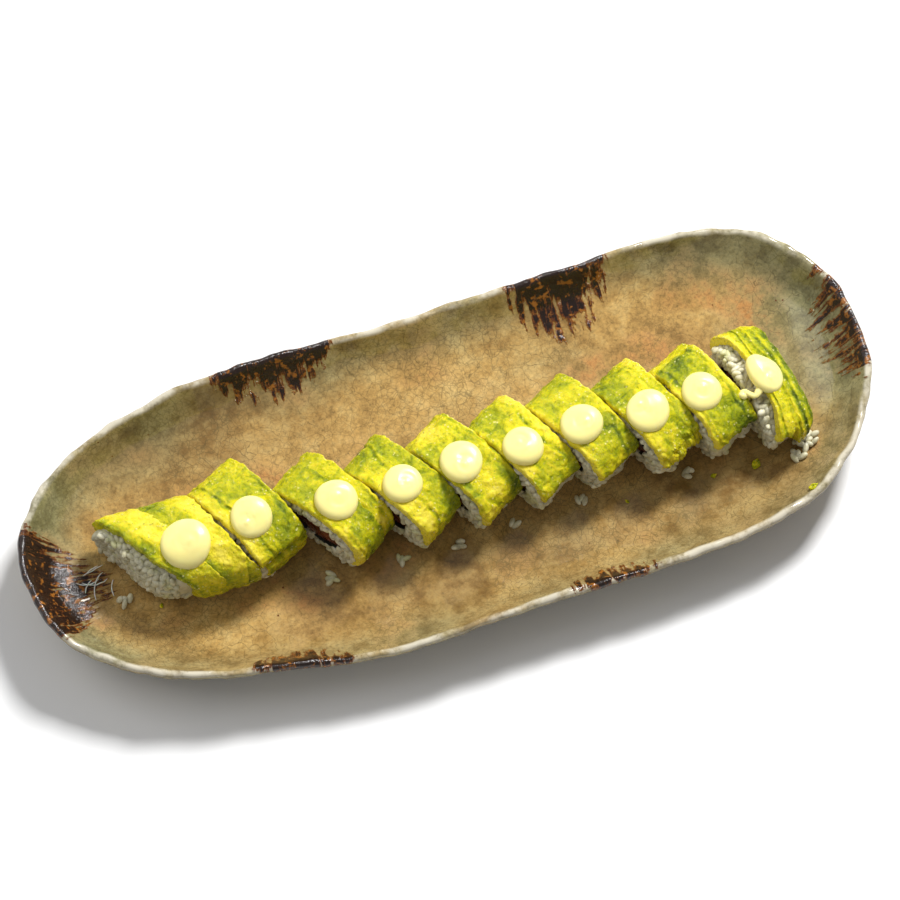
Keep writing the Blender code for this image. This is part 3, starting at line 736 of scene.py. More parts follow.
def leftShare(along):
    # 0 at the first slice's cut, 1 at the roll's left end
    return 0.5 - along / (slices[1]["thick"] * mm)


def slid(number, point):
    # the first slice was cut askew: it lies further back towards the roll's left end
    if number == 1:
        point = Vector((point.x, point.y + roll["leftSlide"] * leftShare(point.x), point.z))
    return point


def sagged(number, point):
    # the outer layers: slanted at the roll's left end, spread to the front in the last slice
    if number == 1:
        slant = math.tan(math.radians(roll["leftSkew"])) * point.y
        return slid(1, Vector((point.x - slant * leftShare(point.x), point.y, point.z)))
    if number == len(slices) and point.y < 0:
        return Vector((point.x, point.y * roll["frontSpread"], point.z))
    return point


def levelAcross(number, along, across):
    # where a point lay across the roll before it slid or sagged
    if number == 1:
        return across + roll["leftSlide"] * leftShare(along)
    return across / roll["frontSpread"] if number == len(slices) and across > 0 else across


def outlinePoint(angle, size=1.0, offset=0.0):
    # (across, up) on the rice's outline, pushed out by offset
    c, s = math.cos(angle), math.sin(angle)
    width, height = roll["width"] * size, (roll["height"] + roll["flat"]) * size
    exponent = 2 / roll["squareness"]
    point = Vector((width / 2 * power(c, exponent), height / 2 * power(s, exponent)))
    normal = Vector((power(c, 2 - exponent) / width, power(s, 2 - exponent) / height)).normalized()
    point += normal * offset
    middle = (roll["height"] - roll["flat"]) / 2
    return Vector((point.x, max(point.y, -middle) + middle))


def topAt(across, size):
    # how high the avocado's upper face is at this distance across
    low, high = 0.05, math.pi - 0.05
    for _ in range(30):
        angle = (low + high) / 2
        point = outlinePoint(angle, size, roll["avocadoThick"])
        if point.x > across:
            low = angle
        else:
            high = angle
    return point.y


avocado = {
    "pointStep": 0.5,  # between the points of a slice, in mm
    "arcPerDegree": 0.335,  # in mm, over the roll's outline
    "edges": (0.010, 0.022, 0.04),
    # waves of the surface: length along in mm, waves round the roll, height in mm or tone, seed
    "body": ((8, 2.4, 0.42, 0), (2.6, 6, 0.28, 6), (1.1, 14, 0.17, 7)),
    "mashed": ((3, 7, 1.0, 14), (1.4, 15, 0.5, 15)),
    "tone": ((6, 2.6, 0.15, 8), (1.0, 2.2, 0.12, 9)),
    "mashedTone": ((2, 10, 0.20, 16),),
    # torn edges: waves across the slice, size in degrees, seed
    "ragFront": ((3.1, 4.5, 0), (9, 3.5, 3)), "ragBack": ((2.7, 4.0, 4), (8, 3.0, 5)),
}


def edgeSteps(count, edges):
    # shares from 0 to 1, close together at both ends
    inner = [blend(edges[-1], 1 - edges[-1], i / count) for i in range(count + 1)]
    return [0.0, *edges[:-1], *inner, *[1 - e for e in reversed(edges[:-1])], 1.0]


def wavesAt(table, along, angle, seed):
    return sum(size * ripple(along / (length * mm), angle * turns, seed=seed + own)
               for length, turns, size, own in table)


def frayAt(run, seed):
    return 0.020 * ripple(run / 6, seed=seed) + 0.014 * ripple(run / 1.6, seed=seed + 10)


def ragAt(table, share, seed):
    return sum(size * ripple(share * turns, seed=seed + own) for turns, size, own in table)


def seamAt(seams, u, v, arc, thick, seed):
    # (height in mm, tone) that the edges of thin slices add here; the tone is a painted highlight along
    # each raised edge and painted shade in the crease below it
    height, tone = 0.0, 0.0
    for u0, v0, u1, v1, step in seams:
        du, dv = (u1 - u0) * arc, (v1 - v0) * thick
        span = math.hypot(du, dv)
        pu, pv = (u - u0) * arc, (v - v0) * thick
        share = (pu * du + pv * dv) / span ** 2
        off = (pv * du - pu * dv) / span
        off += 2.0 * ripple(share * 2.2, seed=seed) + 0.5 * ripple(share * 9, seed=seed + 1)
        weight = smooth(-0.06, 0.04, share) * smooth(1.06, 0.96, share)
        height += weight * step * smooth(-0.3, 0.3, off) * math.exp(-max(0.0, off) / 5)
        height -= weight * 0.10 * math.exp(-((off + 0.45) / 0.4) ** 2)
        # painted highlight on the raised edge, then painted shade in the crease at its foot
        tone += weight * 0.14 * math.exp(-((off - 0.6) / 0.5) ** 2)
        tone -= weight * 0.20 * math.exp(-((off + 0.5) / 0.7) ** 2)
    return height, tone


def layPiece(number, name, slotName, points, faces, material, label="", floats=None, sharp=50):
    # a piece of one slice, from points in the slice's own frame
    place = placeOf(number)
    piece = makePiece(f"{name}{number:02d}{label}", [place @ p for p in points], faces, material,
                      floats, sharp=sharp)
    addPiece(piece, slotName, f"{slotName}_{number:02d}{label}")
    return piece


def makeAvocado(number, label, spec):
    start, end, left, right, bow = spec["cover"]
    leftFront, leftBack, rightFront, rightBack = spec.get("splay", (0, 0, 0, 0))
    mash, lift, seams = spec.get("mash", 0.0), spec.get("lift", 0), spec.get("seams", ())
    thick = slices[number]["thick"] * mm
    width = thick * (right - left) / mm
    arc = avocado["arcPerDegree"] * (end - start)
    bands = round(arc / avocado["pointStep"])
    sweeps = [i / bands for i in range(bands + 1)]
    sides = edgeSteps(max(12, round(width / avocado["pointStep"])), avocado["edges"])
    seed = number * 1.7 + ord(label)
    top, bottom, tones = [], [], []
    for u in sweeps:
        toFront, toBack = smooth(0.45, 0.1, u), smooth(0.55, 0.95, u)
        leftEdge = left + bow * math.sin(math.pi * clamp(u * 1.05)) + frayAt(u * arc, seed + 1)
        leftEdge += leftFront * toFront + leftBack * toBack
        rightEdge = right + frayAt(u * arc, seed + 2) + rightFront * toFront + rightBack * toBack
        pulp = mash * smooth(0.30, 0.12, u)  # a front end that the knife mashed
        for v in sides:
            side = blend(leftEdge, rightEdge, v)
            along = (side - 0.5) * thick
            ragFront = ragAt(avocado["ragFront"], v, seed)
            ragFront += (2.0 + 4 * mash) * ripple(v * 22, seed=seed + 13)
            ragBack = ragAt(avocado["ragBack"], v, seed)
            angle = math.radians(blend(start + ragFront, end + ragBack, u))
            size = sizeAt(number, clamp(side))
            seamHeight, seamShadeAndHighlight = seamAt(seams, u, v, arc, width, seed + 20)
            body = wavesAt(avocado["body"], along, angle, seed) + seamHeight
            body += pulp * wavesAt(avocado["mashed"], along, angle, seed)
            toEnd = min(u, 1 - u) * 13
            taper = blend(roll["avocadoEdge"], 1, clamp(toEnd) ** 0.5)
            across = min(v, 1 - v) * width
            rounding = 0.55 * (1 - clamp(across / 0.8)) ** 2
            height = roll["avocadoThick"] * taper + (body + lift * clamp(toEnd) - rounding) * mm
            for row, offset in ((bottom, 0.2 * mm), (top, 0.2 * mm + max(height, 0.5 * mm))):
                p = outlinePoint(angle, size, offset)
                row.append(sagged(number, Vector((along, -p.x, p.y))))
            tone = 0.50 + wavesAt(avocado["tone"], along, angle, seed)
            tone += pulp * wavesAt(avocado["mashedTone"], along, angle, seed)
            for tu, tv, ru, rv, value in spec["tones"]:
                tone = blend(tone, value, bell(u, v, tu, tv, ru, rv))
            # the last term is a painted highlight along the slice's cut sides
            tones.append(clamp(tone + seamShadeAndHighlight + 0.22 * (1 - clamp(across / 0.7))))
    rows, columns = len(sweeps), len(sides)
    count = rows * columns
    faces = gridFaces(rows, columns)
    faces += [tuple(count + i for i in reversed(face)) for face in faces]
    border = list(range(columns)) + [r * columns + columns - 1 for r in range(1, rows)]
    border += [(rows - 1) * columns + c for c in range(columns - 2, -1, -1)]
    border += [r * columns for r in range(rows - 2, 0, -1)]
    faces += [(a, a + count, b + count, b) for a, b in zip(border, border[1:] + border[:1])]
    layPiece(number, "avocadoSlice", "avocado", top + bottom, faces, avocadoMaterial, label,
             {"tone": tones + tones})
    return len(faces)


avocadoFaces = [makeAvocado(number, label, part) for number, spec in slices.items()
                for label, part in spec["parts"].items()]
print("avocado laid", sum(avocadoFaces), "faces")


# rice: a core of rough shell with real grains grown on it by geometry nodes

# grown: grains on the faces marked bare. loose: grains on points. Each has its least and most size as
# shares, its tilt to both sides and how finely a grain is divided
grains = {
    "riceGrains": {"grown": True, "least": (0.72, 0.84, 0.80), "most": (1.08, 1.12, 1.08),
                   "tilt": (0.5, 0.6), "fine": 2},
    "looseGrains": {"grown": False, "least": (0.60, 0.70, 0.70), "most": (0.95, 0.92, 0.92),
                    "tilt": (0.5, 0.45), "fine": 3},
}


def grainsTree(name):
    look = grains[name]
    tree = bpy.data.node_groups.new(name, "GeometryNodeTree")
    for key, kind in (("Geometry", "Geometry"), ("Grain Length", "Float"), ("Grain Width", "Float"),
                      ("Grain Gap", "Float"), ("Seed", "Int"), ("Rice", "Material")):
        tree.interface.new_socket(key, in_out="INPUT", socket_type=f"NodeSocket{kind}")
    tree.interface.new_socket("Geometry", in_out="OUTPUT", socket_type="NodeSocketGeometry")
    given = addNode(tree, "NodeGroupInput").outputs
    if look["grown"]:
        bare = addNode(tree, "GeometryNodeInputNamedAttribute", {"Name": "bare"}, data_type="FLOAT")
        spots = addNode(tree, "GeometryNodeDistributePointsOnFaces", {
            "Mesh": given["Geometry"], "Selection": bare.outputs["Attribute"],
            "Distance Min": given["Grain Gap"], "Density Max": 900000.0, "Seed": given["Seed"],
        }, distribute_method="POISSON")
    else:
        spots = addNode(tree, "GeometryNodeMeshToPoints", {"Mesh": given["Geometry"]})
    ball = addNode(tree, "GeometryNodeMeshIcoSphere", {"Radius": 0.5, "Subdivisions": look["fine"]})
    reach = addNode(tree, "ShaderNodeCombineXYZ", {
        "X": given["Grain Length"], "Y": given["Grain Width"], "Z": given["Grain Width"]})
    grain = addNode(tree, "GeometryNodeTransform", {
        "Geometry": ball.outputs["Mesh"], "Scale": reach.outputs[0]})
    sizes = addNode(tree, "FunctionNodeRandomValue", {
        "Min": look["least"], "Max": look["most"], "Seed": given["Seed"]}, data_type="FLOAT_VECTOR")
    grown = addNode(tree, "GeometryNodeInstanceOnPoints", {
        "Points": spots.outputs["Points"], "Instance": grain.outputs["Geometry"],
        "Scale": sizes.outputs["Value"]})
    if look["grown"]:
        tree.links.new(spots.outputs["Rotation"], grown.inputs["Rotation"])
    roam, pitch = look["tilt"]
    turns = addNode(tree, "FunctionNodeRandomValue", {
        "Min": (-roam, -pitch, 0.0), "Max": (roam, pitch, 6.283), "Seed": given["Seed"],
    }, data_type="FLOAT_VECTOR")
    turned = addNode(tree, "GeometryNodeRotateInstances", {
        "Instances": grown.outputs["Instances"], "Rotation": turns.outputs["Value"]})
    real = addNode(tree, "GeometryNodeRealizeInstances", {
        "Geometry": turned.outputs["Instances"]}).outputs["Geometry"]
    if look["grown"]:
        both = addNode(tree, "GeometryNodeJoinGeometry")
        tree.links.new(real, both.inputs["Geometry"])
        tree.links.new(given["Geometry"], both.inputs["Geometry"])
        real = both.outputs["Geometry"]
    rounded = addNode(tree, "GeometryNodeSetShadeSmooth", {"Geometry": real})
    painted = addNode(tree, "GeometryNodeSetMaterial", {
        "Geometry": rounded.outputs["Geometry"], "Material": given["Rice"]})
    addNode(tree, "NodeGroupOutput", {"Geometry": painted.outputs["Geometry"]})
    return tree


def settle(piece, tree, **values):
    # grow the tree on the piece, keep the result as a plain mesh and drop the modifier
    modifier = piece.modifiers.new("grow", "NODES")
    modifier.node_group = tree
    names = {item.name: item.identifier for item in tree.interface.items_tree if item.in_out == "INPUT"}
    for key, value in values.items():
        modifier[names[key]] = value
    bpy.context.view_layer.update()
    evaluated = piece.evaluated_get(bpy.context.evaluated_depsgraph_get())
    grown = bpy.data.meshes.new_from_object(evaluated)
    grown.name = piece.name
    piece.modifiers.clear()
    piece.data = grown
    return piece


def corePoint(angle, inset=0.0):
    width, height = roll["noriWidth"] / 2 - inset, roll["noriHeight"] / 2 - inset
    return Vector((width * math.cos(angle), height * math.sin(angle) + roll["coreHeight"]))


def ringRipple(along, angle, size, seed):
    return ripple(along, math.cos(angle) * size, math.sin(angle) * size, seed=seed)


riceCore = {
    "steps": 72, "rows": 9, "radial": 4,
    "fromCut": 0.5 * mm, "shrink": -1.0 * mm,  # room for the grains
    "noriGap": -0.3 * mm, "underAvocado": 7, "clearSide": 0.02, "underFoot": (-122, -58),
    "lumpAngle": 13, "lumpSide": 0.16,  # radii of a lump
}


def signedDegrees(angle):
    degrees = math.degrees(angle)
    return degrees - 360 if degrees > 250 else degrees


def riceSkin(number, angle, side):
    # a point of the core's outside
    spec = slices[number]
    degrees = signedDegrees(angle)
    push = 0.5 * ringRipple(side * 3, angle, 4, number + 30)
    push += 1.1 * math.exp(-((degrees + 34) / 24) ** 2)  # the foot spreads at the front
    for lumpAngle, lumpSide, lump in spec["lumps"]:
        push += lump * bell(degrees, side, lumpAngle, lumpSide, riceCore["lumpAngle"],
                            riceCore["lumpSide"])
    p = outlinePoint(angle, sizeAt(number, side), riceCore["shrink"] + push * mm)
    reach = spec["thick"] * mm - 2 * riceCore["fromCut"]
    return sagged(number, Vector(((side - 0.5) * reach, -p.x, max(p.y, 0.9 * mm))))


def isHidden(number, degrees, side):
    # under the avocado or the slice's foot, where no grains are needed
    clear, low = riceCore["underAvocado"], riceCore["clearSide"]
    if riceCore["underFoot"][0] < degrees < riceCore["underFoot"][1]:
        return True
    covers = [part["cover"] for part in slices[number]["parts"].values()]
    return any(start + clear < degrees < end - clear and left + low < side < right - low
               for start, end, left, right, bow in covers if not bow)


def makeRice(number, tree):
    steps, rows, radial = riceCore["steps"], riceCore["rows"], riceCore["radial"]
    leftCore, rightCore = coreSpan(number)
    angles = [2 * math.pi * i / steps for i in range(steps)]
    points = [riceSkin(number, a, r / (rows - 1)) for r in range(rows) for a in angles]
    faces = gridFaces(rows, steps, closed=True)
    bare = [0.0 if isHidden(number, signedDegrees(a), (r + 0.5) / (rows - 1)) else 1.0
            for r in range(rows - 1) for a in angles]
    # the cut faces, from the outline in to the nori, and the wall of the hole
    holes = []
    half = slices[number]["thick"] * mm / 2 - riceCore["fromCut"]
    inner = [corePoint(a, riceCore["noriGap"]) for a in angles]
    for ring, x, at, closed in ((0, -half, leftCore, number == 1),
                                ((rows - 1) * steps, half, rightCore, number == len(slices))):
        last = ring
        for k in range(1, radial + 1):
            first = len(points)
            for i, p in enumerate(inner):
                points.append(points[ring + i].lerp(slid(number, Vector((x, -p.x, p.y))), k / radial))
            faces += ringFaces(last, first, steps)
            bare += [1.0] * steps
            last = first
        if closed:  # the roll's own end: rice over the nori
            points.append(slid(number, Vector((x, 0, roll["coreHeight"]))))
            faces += fanFaces(last, len(points) - 1, steps)
            last = len(points)
            points += [slid(number, Vector((at, -p.x, p.y))) for p in inner]
            points.append(slid(number, Vector((at, 0, roll["coreHeight"]))))
            faces += fanFaces(last, len(points) - 1, steps)
            bare += [1.0] * steps + [0.0] * steps
        holes.append(last)
    faces += ringFaces(holes[0], holes[1], steps)
    bare += [0.0] * steps
    place = placeOf(number)
    piece = makePiece(f"riceSlice{number:02d}", [place @ p for p in points], faces, riceMaterial)
    piece.data.attributes.new("bare", "FLOAT", "FACE").data.foreach_set("value", bare)
    settle(piece, tree, **{"Grain Length": roll["grainLength"], "Grain Width": roll["grainWidth"],
                           "Grain Gap": roll["grainGap"], "Seed": number * 7, "Rice": riceMaterial})
    addPiece(piece, "rice", f"rice_{number:02d}")
    return len(piece.data.polygons)


grownTree = grainsTree("riceGrains")
riceFaces = [makeRice(number, grownTree) for number in slices]
print("rice grown", riceFaces)


# nori and filling

core = {
    "noriSteps": 72, "noriRows": 12, "fillingSteps": 56, "fillingRows": 14,
    # the filling's ends: (share of the length, share of the radius)
    "fillingEnd": ((-0.5, 0.0), (-0.5, 0.45), (-0.5, 0.8)),
    "fillingShort": 0.8 * mm, "fillingGap": 0.4 * mm,
}


def makeNori(number):
    left, right = coreSpan(number)
    steps, rows = core["noriSteps"], core["noriRows"]
    points = []
    for inset, order in ((0.0, range(rows)), (roll["noriThick"], range(rows - 1, -1, -1))):
        for r in order:
            share = r / (rows - 1)
            for i in range(steps):
                a = 2 * math.pi * i / steps
                rough = 0.3 * ringRipple(share * 5, a, 3, number + 50) * mm
                p = corePoint(a, inset + rough + 0.1 * mm)
                frayed = (0.25 * ripple(i * 0.7, seed=number + 51) - 0.1) * mm
                x = blend(left - frayed, right + frayed, share)
                points.append(slid(number, Vector((x, -p.x, p.y))))
    faces = gridFaces(2 * rows, steps, closed=True)
    faces += ringFaces((2 * rows - 1) * steps, 0, steps)
    layPiece(number, "noriSheet", "nori", points, faces, noriMaterial)


def makeFilling(number):
    left, right = coreSpan(number)
    steps, rows = core["fillingSteps"], core["fillingRows"]
    points = []
    stations = [*core["fillingEnd"]]
    stations += [(blend(-0.485, 0.485, r / (rows - 1)), 1.0) for r in range(rows)]
    stations += [(-share, radius) for share, radius in reversed(core["fillingEnd"])]
    for share, radius in stations:
        for i in range(steps):
            a = 2 * math.pi * i / steps
            lump = 0.35 * ringRipple(share * 4, a, 2.2, number + 60) * mm
            p = corePoint(a, roll["noriThick"] + core["fillingGap"] + lump)
            across, up = p.x * radius, blend(roll["coreHeight"], p.y, radius)
            dent = 0.5 * ripple(across / (4 * mm), up / (4 * mm), seed=number + 61) * mm
            x = blend(left + core["fillingShort"], right - core["fillingShort"], share + 0.5)
            points.append(slid(number, Vector((x + dent * (radius < 1), -across, up))))
    faces = gridFaces(len(stations), steps, closed=True)
    mergeClose(layPiece(number, "filling", "filling", points, faces, fillingMaterial))


for number in slices:
    makeNori(number)
    makeFilling(number)
print("nori and filling rolled")


# mayonnaise: a dollop on each slice, and the thread that one left behind

mayonnaise = {
    # (share of the reach, share of the height)
    "profile": ((0.86, 0.0), (0.94, 0.06), (0.985, 0.18), (1.0, 0.34), (0.985, 0.50), (0.94, 0.66),
                (0.86, 0.79), (0.74, 0.885), (0.58, 0.945), (0.40, 0.975), (0.20, 0.99)),
    "tip": (0.0, 0.995), "height": 4.4 * mm, "sink": 0.7 * mm, "steps": 72, "widen": 1.02,
    # the curl that the nozzle left: how far out it ends, as a share, its angle and its height in mm
    "curls": {1: (0.15, 40, 0.25), 2: (0.45, 160, 0.55), 3: (0.1, 0, 0.35), 4: (0.2, 60, 0.3),
              5: (0.3, 100, 0.45), 6: (0.2, 250, 0.25), 7: (0.15, 30, 0.25), 8: (0.5, 250, 0.4),
              9: (0.1, 0, 0.5), 10: (0.35, 80, 0.5)},
    # a second, smaller lobe: (slice, angle to it, share of the reach, size)
    "lobe": (10, 255, 0.50, 0.62),
    # the thread from the last dollop to the slice before it: (slice, along, forward, radius) in mm
    "thread": ((10, -3.0, 8.0, 2.2), (10, -6.4, 9.6, 1.6), (10, -9.0, 10.6, 1.1),
               (9, 10.6, 12.4, 1.2), (9, 9.0, 13.2, 2.0), (9, 8.0, 13.6, 1.0)),
}


def outlineShare(number, a):
    # how far a dollop's outline reaches at this angle
    uneven = 1 + 0.022 * math.sin(2 * a + number * 1.9) + 0.012 * math.sin(3 * a + number * 2.7)
    lobeNumber, lobeAngle, lobeShare, lobeSize = mayonnaise["lobe"]
    if number != lobeNumber:
        return uneven
    # the outline of two discs run together
    turn = a - math.radians(lobeAngle)
    inside = lobeSize ** 2 - (lobeShare * math.sin(turn)) ** 2
    lobe = 0
    if inside > 0 and math.cos(turn) > 0:
        lobe = lobeShare * math.cos(turn) + math.sqrt(inside)
    return ((0.94 * uneven) ** 8 + lobe ** 8) ** (1 / 8)


def makeDollop(number):
    low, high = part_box(f"mayonnaise_{number:02d}")
    middle = placeOf(number).inverted() @ ((low + high) / 2)
    reach = (high - low) / 2
    steps = mayonnaise["steps"]
    thick = slices[number]["thick"] * mm
    lowest = sizeAt(number, 0.5)
    finer = curveThrough(list(mayonnaise["profile"]), 0.05)
    curlAt, curlAngle, curlHeight = mayonnaise["curls"][number]
    curl = Vector((math.cos(math.radians(curlAngle)), math.sin(math.radians(curlAngle)))) * curlAt
    points = []
    for radius, rise in finer + [mayonnaise["tip"]]:
        for i in range(steps if radius else 1):
            a = 2 * math.pi * i / steps
            out = radius * outlineShare(number, a) * mayonnaise["widen"]
            along = middle.x + reach.x * out * math.cos(a)
            across = -middle.y + reach.y * out * math.sin(a)
            size = sizeAt(number, clamp(0.5 + along / thick))
            level = levelAcross(number, along, across)
            ground = max(topAt(level, size), topAt(level, lowest) - 1.2 * mm)
            fromCurl = (Vector((radius * math.cos(a), radius * math.sin(a))) - curl).length
            swirl = curlHeight * math.exp(-(fromCurl / 0.13) ** 2)
            swirl += 0.16 * math.exp(-((fromCurl - 0.42) / 0.10) ** 2) * math.sin(a + number)
            slump = 0.3 * math.sin(a + number) * rise
            up = ground + rise * mayonnaise["height"] - mayonnaise["sink"]
            up += (slump + swirl * smooth(0.5, 0.9, rise)) * mm
            points.append(Vector((along, -across, up)))
    faces = gridFaces(len(finer), steps, closed=True)
    faces += fanFaces((len(finer) - 1) * steps, len(points) - 1, steps)
    faces.append(tuple(range(steps)))
    layPiece(number, "mayonnaiseDollop", "mayonnaise", points, faces, mayoMaterial, sharp=120)


def tubeAlong(stops, steps=14, flat=0.8):
    # rings round a smooth line through (place, radius), closed at both ends
    line = curveThrough([(*p, r) for p, r in stops], 0.5 * mm)
    points = []
    for i, (x, y, z, radius) in enumerate(line):
        before, after = line[max(i - 1, 0)], line[min(i + 1, len(line) - 1)]
        ahead = (Vector(after[:3]) - Vector(before[:3])).normalized()
        side = ahead.cross(Vector((0, 0, 1))).normalized()
        up = side.cross(ahead)
        for j in range(steps):
            a = 2 * math.pi * j / steps
            points.append(Vector((x, y, z)) + (side * math.cos(a) + up * math.sin(a) * flat) * radius)
    faces = gridFaces(len(line), steps, closed=True)
    faces.append(tuple(range(steps)))
    faces.append(tuple(range((len(line) - 1) * steps, len(line) * steps)))
    return points, faces


def makeThread():
    stops = []
    for number, along, forward, radius in mayonnaise["thread"]:
        along, forward = along * mm, forward * mm
        share = clamp(0.5 + along / (slices[number]["thick"] * mm))
        z = topAt(levelAcross(number, along, forward), sizeAt(number, share)) + 0.2 * mm
        stops.append((placeOf(number) @ Vector((along, -forward, z)), radius * mm))
    points, faces = tubeAlong(stops)
    piece = makePiece("mayonnaiseThread", points, faces, mayoMaterial, sharp=120)
    addPiece(piece, "mayonnaise")


for number in slices:
    makeDollop(number)
makeThread()
print("mayonnaise piped")


# what fell on the dish: avocado crumbs and loose rice; and a few pale threads, painted highlights that
# stand in for glints on the glaze

scraps = {
    # crumbs of avocado: (x, y, length, width, height, turn), all but the turn in mm
    "crumbs": ((114.5, -32.0, 4.8, 3.0, 2.4, 55), (129.5, -53.0, 4.2, 2.6, 1.8, 20),
               (97.5, -31.2, 2.4, 1.6, 1.2, 10), (-121.5, -14.0, 2.2, 1.4, 1.0, 70),
               (62.0, -30.5, 2.0, 1.2, 1.0, 120)),
    # loose rice: (x, y, height over the floor or slice, spread, how many grains), lengths in mm
    "rice": ((136.0, -30.0, 1.6, 4.2, 10), (130.5, -35.0, 1.0, 2.4, 4), (88.0, -27.0, 0.8, 1.8, 3),
             (-56.0, -24.2, 0.7, 2.0, 4), (-27.8, -25.8, 0.7, 1.8, 3), (-5.0, -26.9, 0.7, 1.8, 3),
             (17.7, -25.8, 0.7, 1.5, 2), (45.4, -24.0, 0.7, 1.8, 3), (-134.0, -8.0, 0.8, 2.4, 4)),
    # rice that sticks out behind the slices: (slice, along, height over the slice's foot), in mm
    "behind": ((3, 8.5, 9.0), (4, -7.5, 11.0), (4, -5.5, 13.0), (6, -6.5, 12.0), (7, -8.0, 11.0),
               (7, -6.0, 13.5), (8, -8.0, 12.0), (8, -6.0, 9.0), (10, -7.5, 12.5), (10, -6.0, 14.5),
               (1, -9.0, 9.0)),
    "outBehind": 0.8 * mm,
    # painted glints on the glaze, laid as pale threads: (x, y, turn, length in mm)
    "glints": ((-138, 9, 196, 9), (-139, 6, 208, 12), (-138, 3, 214, 10), (-140, 9, 188, 6),
               (-136, 2, 232, 7), (-141, 4, 220, 9), (-144, 4, 206, 6)),
    "glintJoints": 7, "glintRadius": 0.22 * mm, "glintTip": 0.08 * mm,
    "herb": (3, -5.2, 1.6, 5.4, 2.2),  # slice, along, forward, length and width in mm
}


def lumpOf(middle, reach, turn, seed, rings=14, steps=22):
    # an uneven flattened lump, pointed at one end
    points = []
    for i in range(rings + 1):
        down = math.pi * i / rings
        for j in range(steps):
            a = 2 * math.pi * j / steps
            c, s = math.cos(a), math.sin(a)
            out = 1 + 0.22 * ripple(c * 1.4, s * 1.4, math.cos(down) * 1.4, seed=seed)
            out += 0.10 * ripple(c * 4, s * 4, math.cos(down) * 4, seed=seed + 1)
            x = math.sin(down) * c * out
            width = 1 - 0.55 * smooth(-0.2, 1.0, x)
            y, z = math.sin(down) * s * out * width, math.cos(down) * out
            p = Vector((x * reach.x, y * reach.y, z * reach.z))
            points.append(middle + Matrix.Rotation(math.radians(turn), 3, "Z") @ p)
    return points, gridFaces(rings + 1, steps, closed=True)


def joined(parts):
    points, faces = [], []
    for morePoints, moreFaces in parts:
        faces += [tuple(len(points) + i for i in face) for face in moreFaces]
        points += morePoints
    return points, faces


def makeCrumbs():
    parts = []
    for i, (x, y, length, width, height, turn) in enumerate(scraps["crumbs"]):
        middle = Vector((x * mm, y * mm, floorAt(x * mm, y * mm) + 0.42 * height * mm))
        parts.append(lumpOf(middle, Vector((length, width, height)) * mm / 2, turn, i + 70))
    points, faces = joined(parts)
    tone = [clamp(0.55 + 0.3 * ripple(p.x / mm, p.y / mm, p.z / mm, seed=4)) for p in points]
    piece = makePiece("avocadoCrumbs", points, faces, avocadoMaterial, {"tone": tone})
    mergeClose(piece)
    addPiece(piece, "avocado")


def makeHerb():
    number, along, forward, length, width = scraps["herb"]
    z = topAt(forward * mm, 1.0) + 0.25 * mm
    middle = placeOf(number) @ Vector((along * mm, -forward * mm, z))
    points, faces = lumpOf(middle, Vector((length / 2, width / 2, 0.35)) * mm, 12, 90)
    piece = makePiece("herbLeaf", points, faces, herbMaterial)
    mergeClose(piece)
    addPiece(piece, "avocado")


def makeLooseRice():
    spots = []
    for i, (x, y, height, spread, count) in enumerate(scraps["rice"]):
        for j in range(count):
            turn, out = 2.4 * j + i, math.sqrt((j + 0.5) / count) * spread  # a sunflower's order
            px, py = (x + out * math.cos(turn)) * mm, (y + out * math.sin(turn)) * mm
            pile = 2.0 * mm * (1 - out / spread) * (count > 10)
            spots.append(Vector((px, py, floorAt(px, py) + height * mm + pile)))
    for number, along, height in scraps["behind"]:
        behind = Vector((along * mm, roll["width"] / 2 + scraps["outBehind"], height * mm))
        spots.append(placeOf(number) @ behind)
    mesh = bpy.data.meshes.new("looseRice")
    mesh.from_pydata([tuple(p) for p in spots], [], [])
    piece = bpy.data.objects.new("looseRice", mesh)
    bpy.context.collection.objects.link(piece)
    settle(piece, grainsTree("looseGrains"), **{
        "Grain Length": roll["grainLength"], "Grain Width": roll["grainWidth"], "Seed": 5,
        "Rice": riceMaterial})
    addPiece(piece, "rice")


def makeGlints():
    parts = []
    joints = scraps["glintJoints"]
    for i, (x, y, turn, length) in enumerate(scraps["glints"]):
        stops = []
        for j in range(joints):
            out = length * j / (joints - 1)
            bend = math.radians(turn) + 0.12 * j * math.sin(i * 2.2)
            px, py = (x + out * math.cos(bend)) * mm, (y + out * math.sin(bend)) * mm
            lift = (0.35 + 0.9 * abs(ripple(j * 0.7, seed=i + 40))) * mm
            radius = scraps["glintTip"] if j in (0, joints - 1) else scraps["glintRadius"]
            stops.append((Vector((px, py, floorAt(px, py) + lift)), radius))
        parts.append(tubeAlong(stops, steps=8))
    points, faces = joined(parts)
    addPiece(makePiece("glintThreads", points, faces, glintMaterial, sharp=90), "rice")


herbMaterial = plainMaterial("herbGreen", 900.0, (0.004, 0.030, 0.004), (0.02, 0.085, 0.012),
                             Roughness=0.3, IOR=1.4)
# pale material for the threads that stand in for glints on the glaze, a painted highlight
glintMaterial = plainMaterial("glintThread", 700.0, (0.70, 0.68, 0.60), (0.92, 0.91, 0.86),
                              Roughness=0.15, IOR=1.4, Subsurface_Weight=0.3,
                              Subsurface_Scale=1 * mm)
makeCrumbs()
makeHerb()
makeLooseRice()
makeGlints()
print("scraps laid")


# floor, light and camera

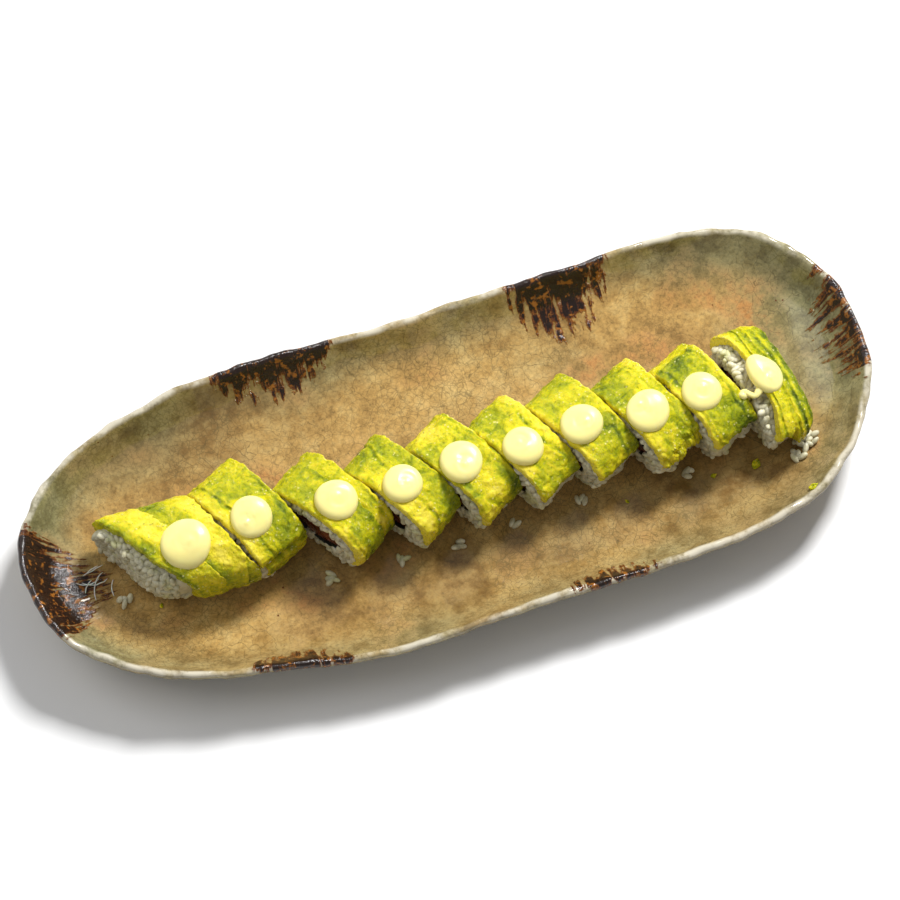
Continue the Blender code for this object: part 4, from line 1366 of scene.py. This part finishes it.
studio = {
    "elevation": 68.0, "azimuth": -18.6, "distance": 1.923, "aim": (0.0, 0.0, 0.027), "raise": 0.0052,
    "lens": 200.0, "sensor": 36, "floor": 3,
    "keyLight": ((0.92, 0.80, 1.44), 0.40, 47.0),  # place, size in metres, watts
    "fillLight": ((-0.9, 0.6, 1.4), 1.2, 7.0),
    "world": 0.30,
}


def addLight(name, at, size, watts):
    light = bpy.data.lights.new(name, "AREA")
    light.energy = watts
    light.size = size
    lamp = bpy.data.objects.new(name, light)
    lamp.location = at
    lamp.rotation_euler = (-Vector(at)).to_track_quat("-Z", "Y").to_euler()
    bpy.context.collection.objects.link(lamp)


def setStudio():
    floorMaterial = plainMaterial("paleFloor", 3.0, (0.86, 0.86, 0.86), (0.88, 0.88, 0.88),
                                  Roughness=0.8)
    mesh = bpy.data.meshes.new("studioFloor")
    far = studio["floor"]
    mesh.from_pydata([(-far, -far, 0), (far, -far, 0), (far, far, 0), (-far, far, 0)], [],
                     [(0, 1, 2, 3)])
    mesh.materials.append(floorMaterial)
    floor = bpy.data.objects.new("studioFloor", mesh)
    bpy.context.collection.objects.link(floor)
    for name in ("keyLight", "fillLight"):
        addLight(name, *studio[name])
    world = bpy.data.worlds.new("studioWorld")
    world.use_nodes = True
    world.node_tree.nodes["Background"].inputs["Color"].default_value = (1, 1, 1, 1)
    world.node_tree.nodes["Background"].inputs["Strength"].default_value = studio["world"]
    bpy.context.scene.world = world
    bpy.context.scene.view_settings.view_transform = "Standard"
    a, e = math.radians(studio["azimuth"]), math.radians(studio["elevation"])
    back = Vector((math.sin(a) * math.cos(e), -math.cos(a) * math.cos(e), math.sin(e)))
    up = Vector((-math.sin(a) * math.sin(e), math.cos(a) * math.sin(e), math.cos(e)))
    lens = bpy.data.cameras.new("camera")
    lens.lens = studio["lens"]
    lens.sensor_width = studio["sensor"]
    lens.clip_start = 0.05
    camera = bpy.data.objects.new("camera", lens)
    camera.location = Vector(studio["aim"]) + up * studio["raise"] + back * studio["distance"]
    camera.rotation_euler = (-back).to_track_quat("-Z", "Y").to_euler()
    bpy.context.collection.objects.link(camera)
    bpy.context.scene.camera = camera


setStudio()
print("studio set")
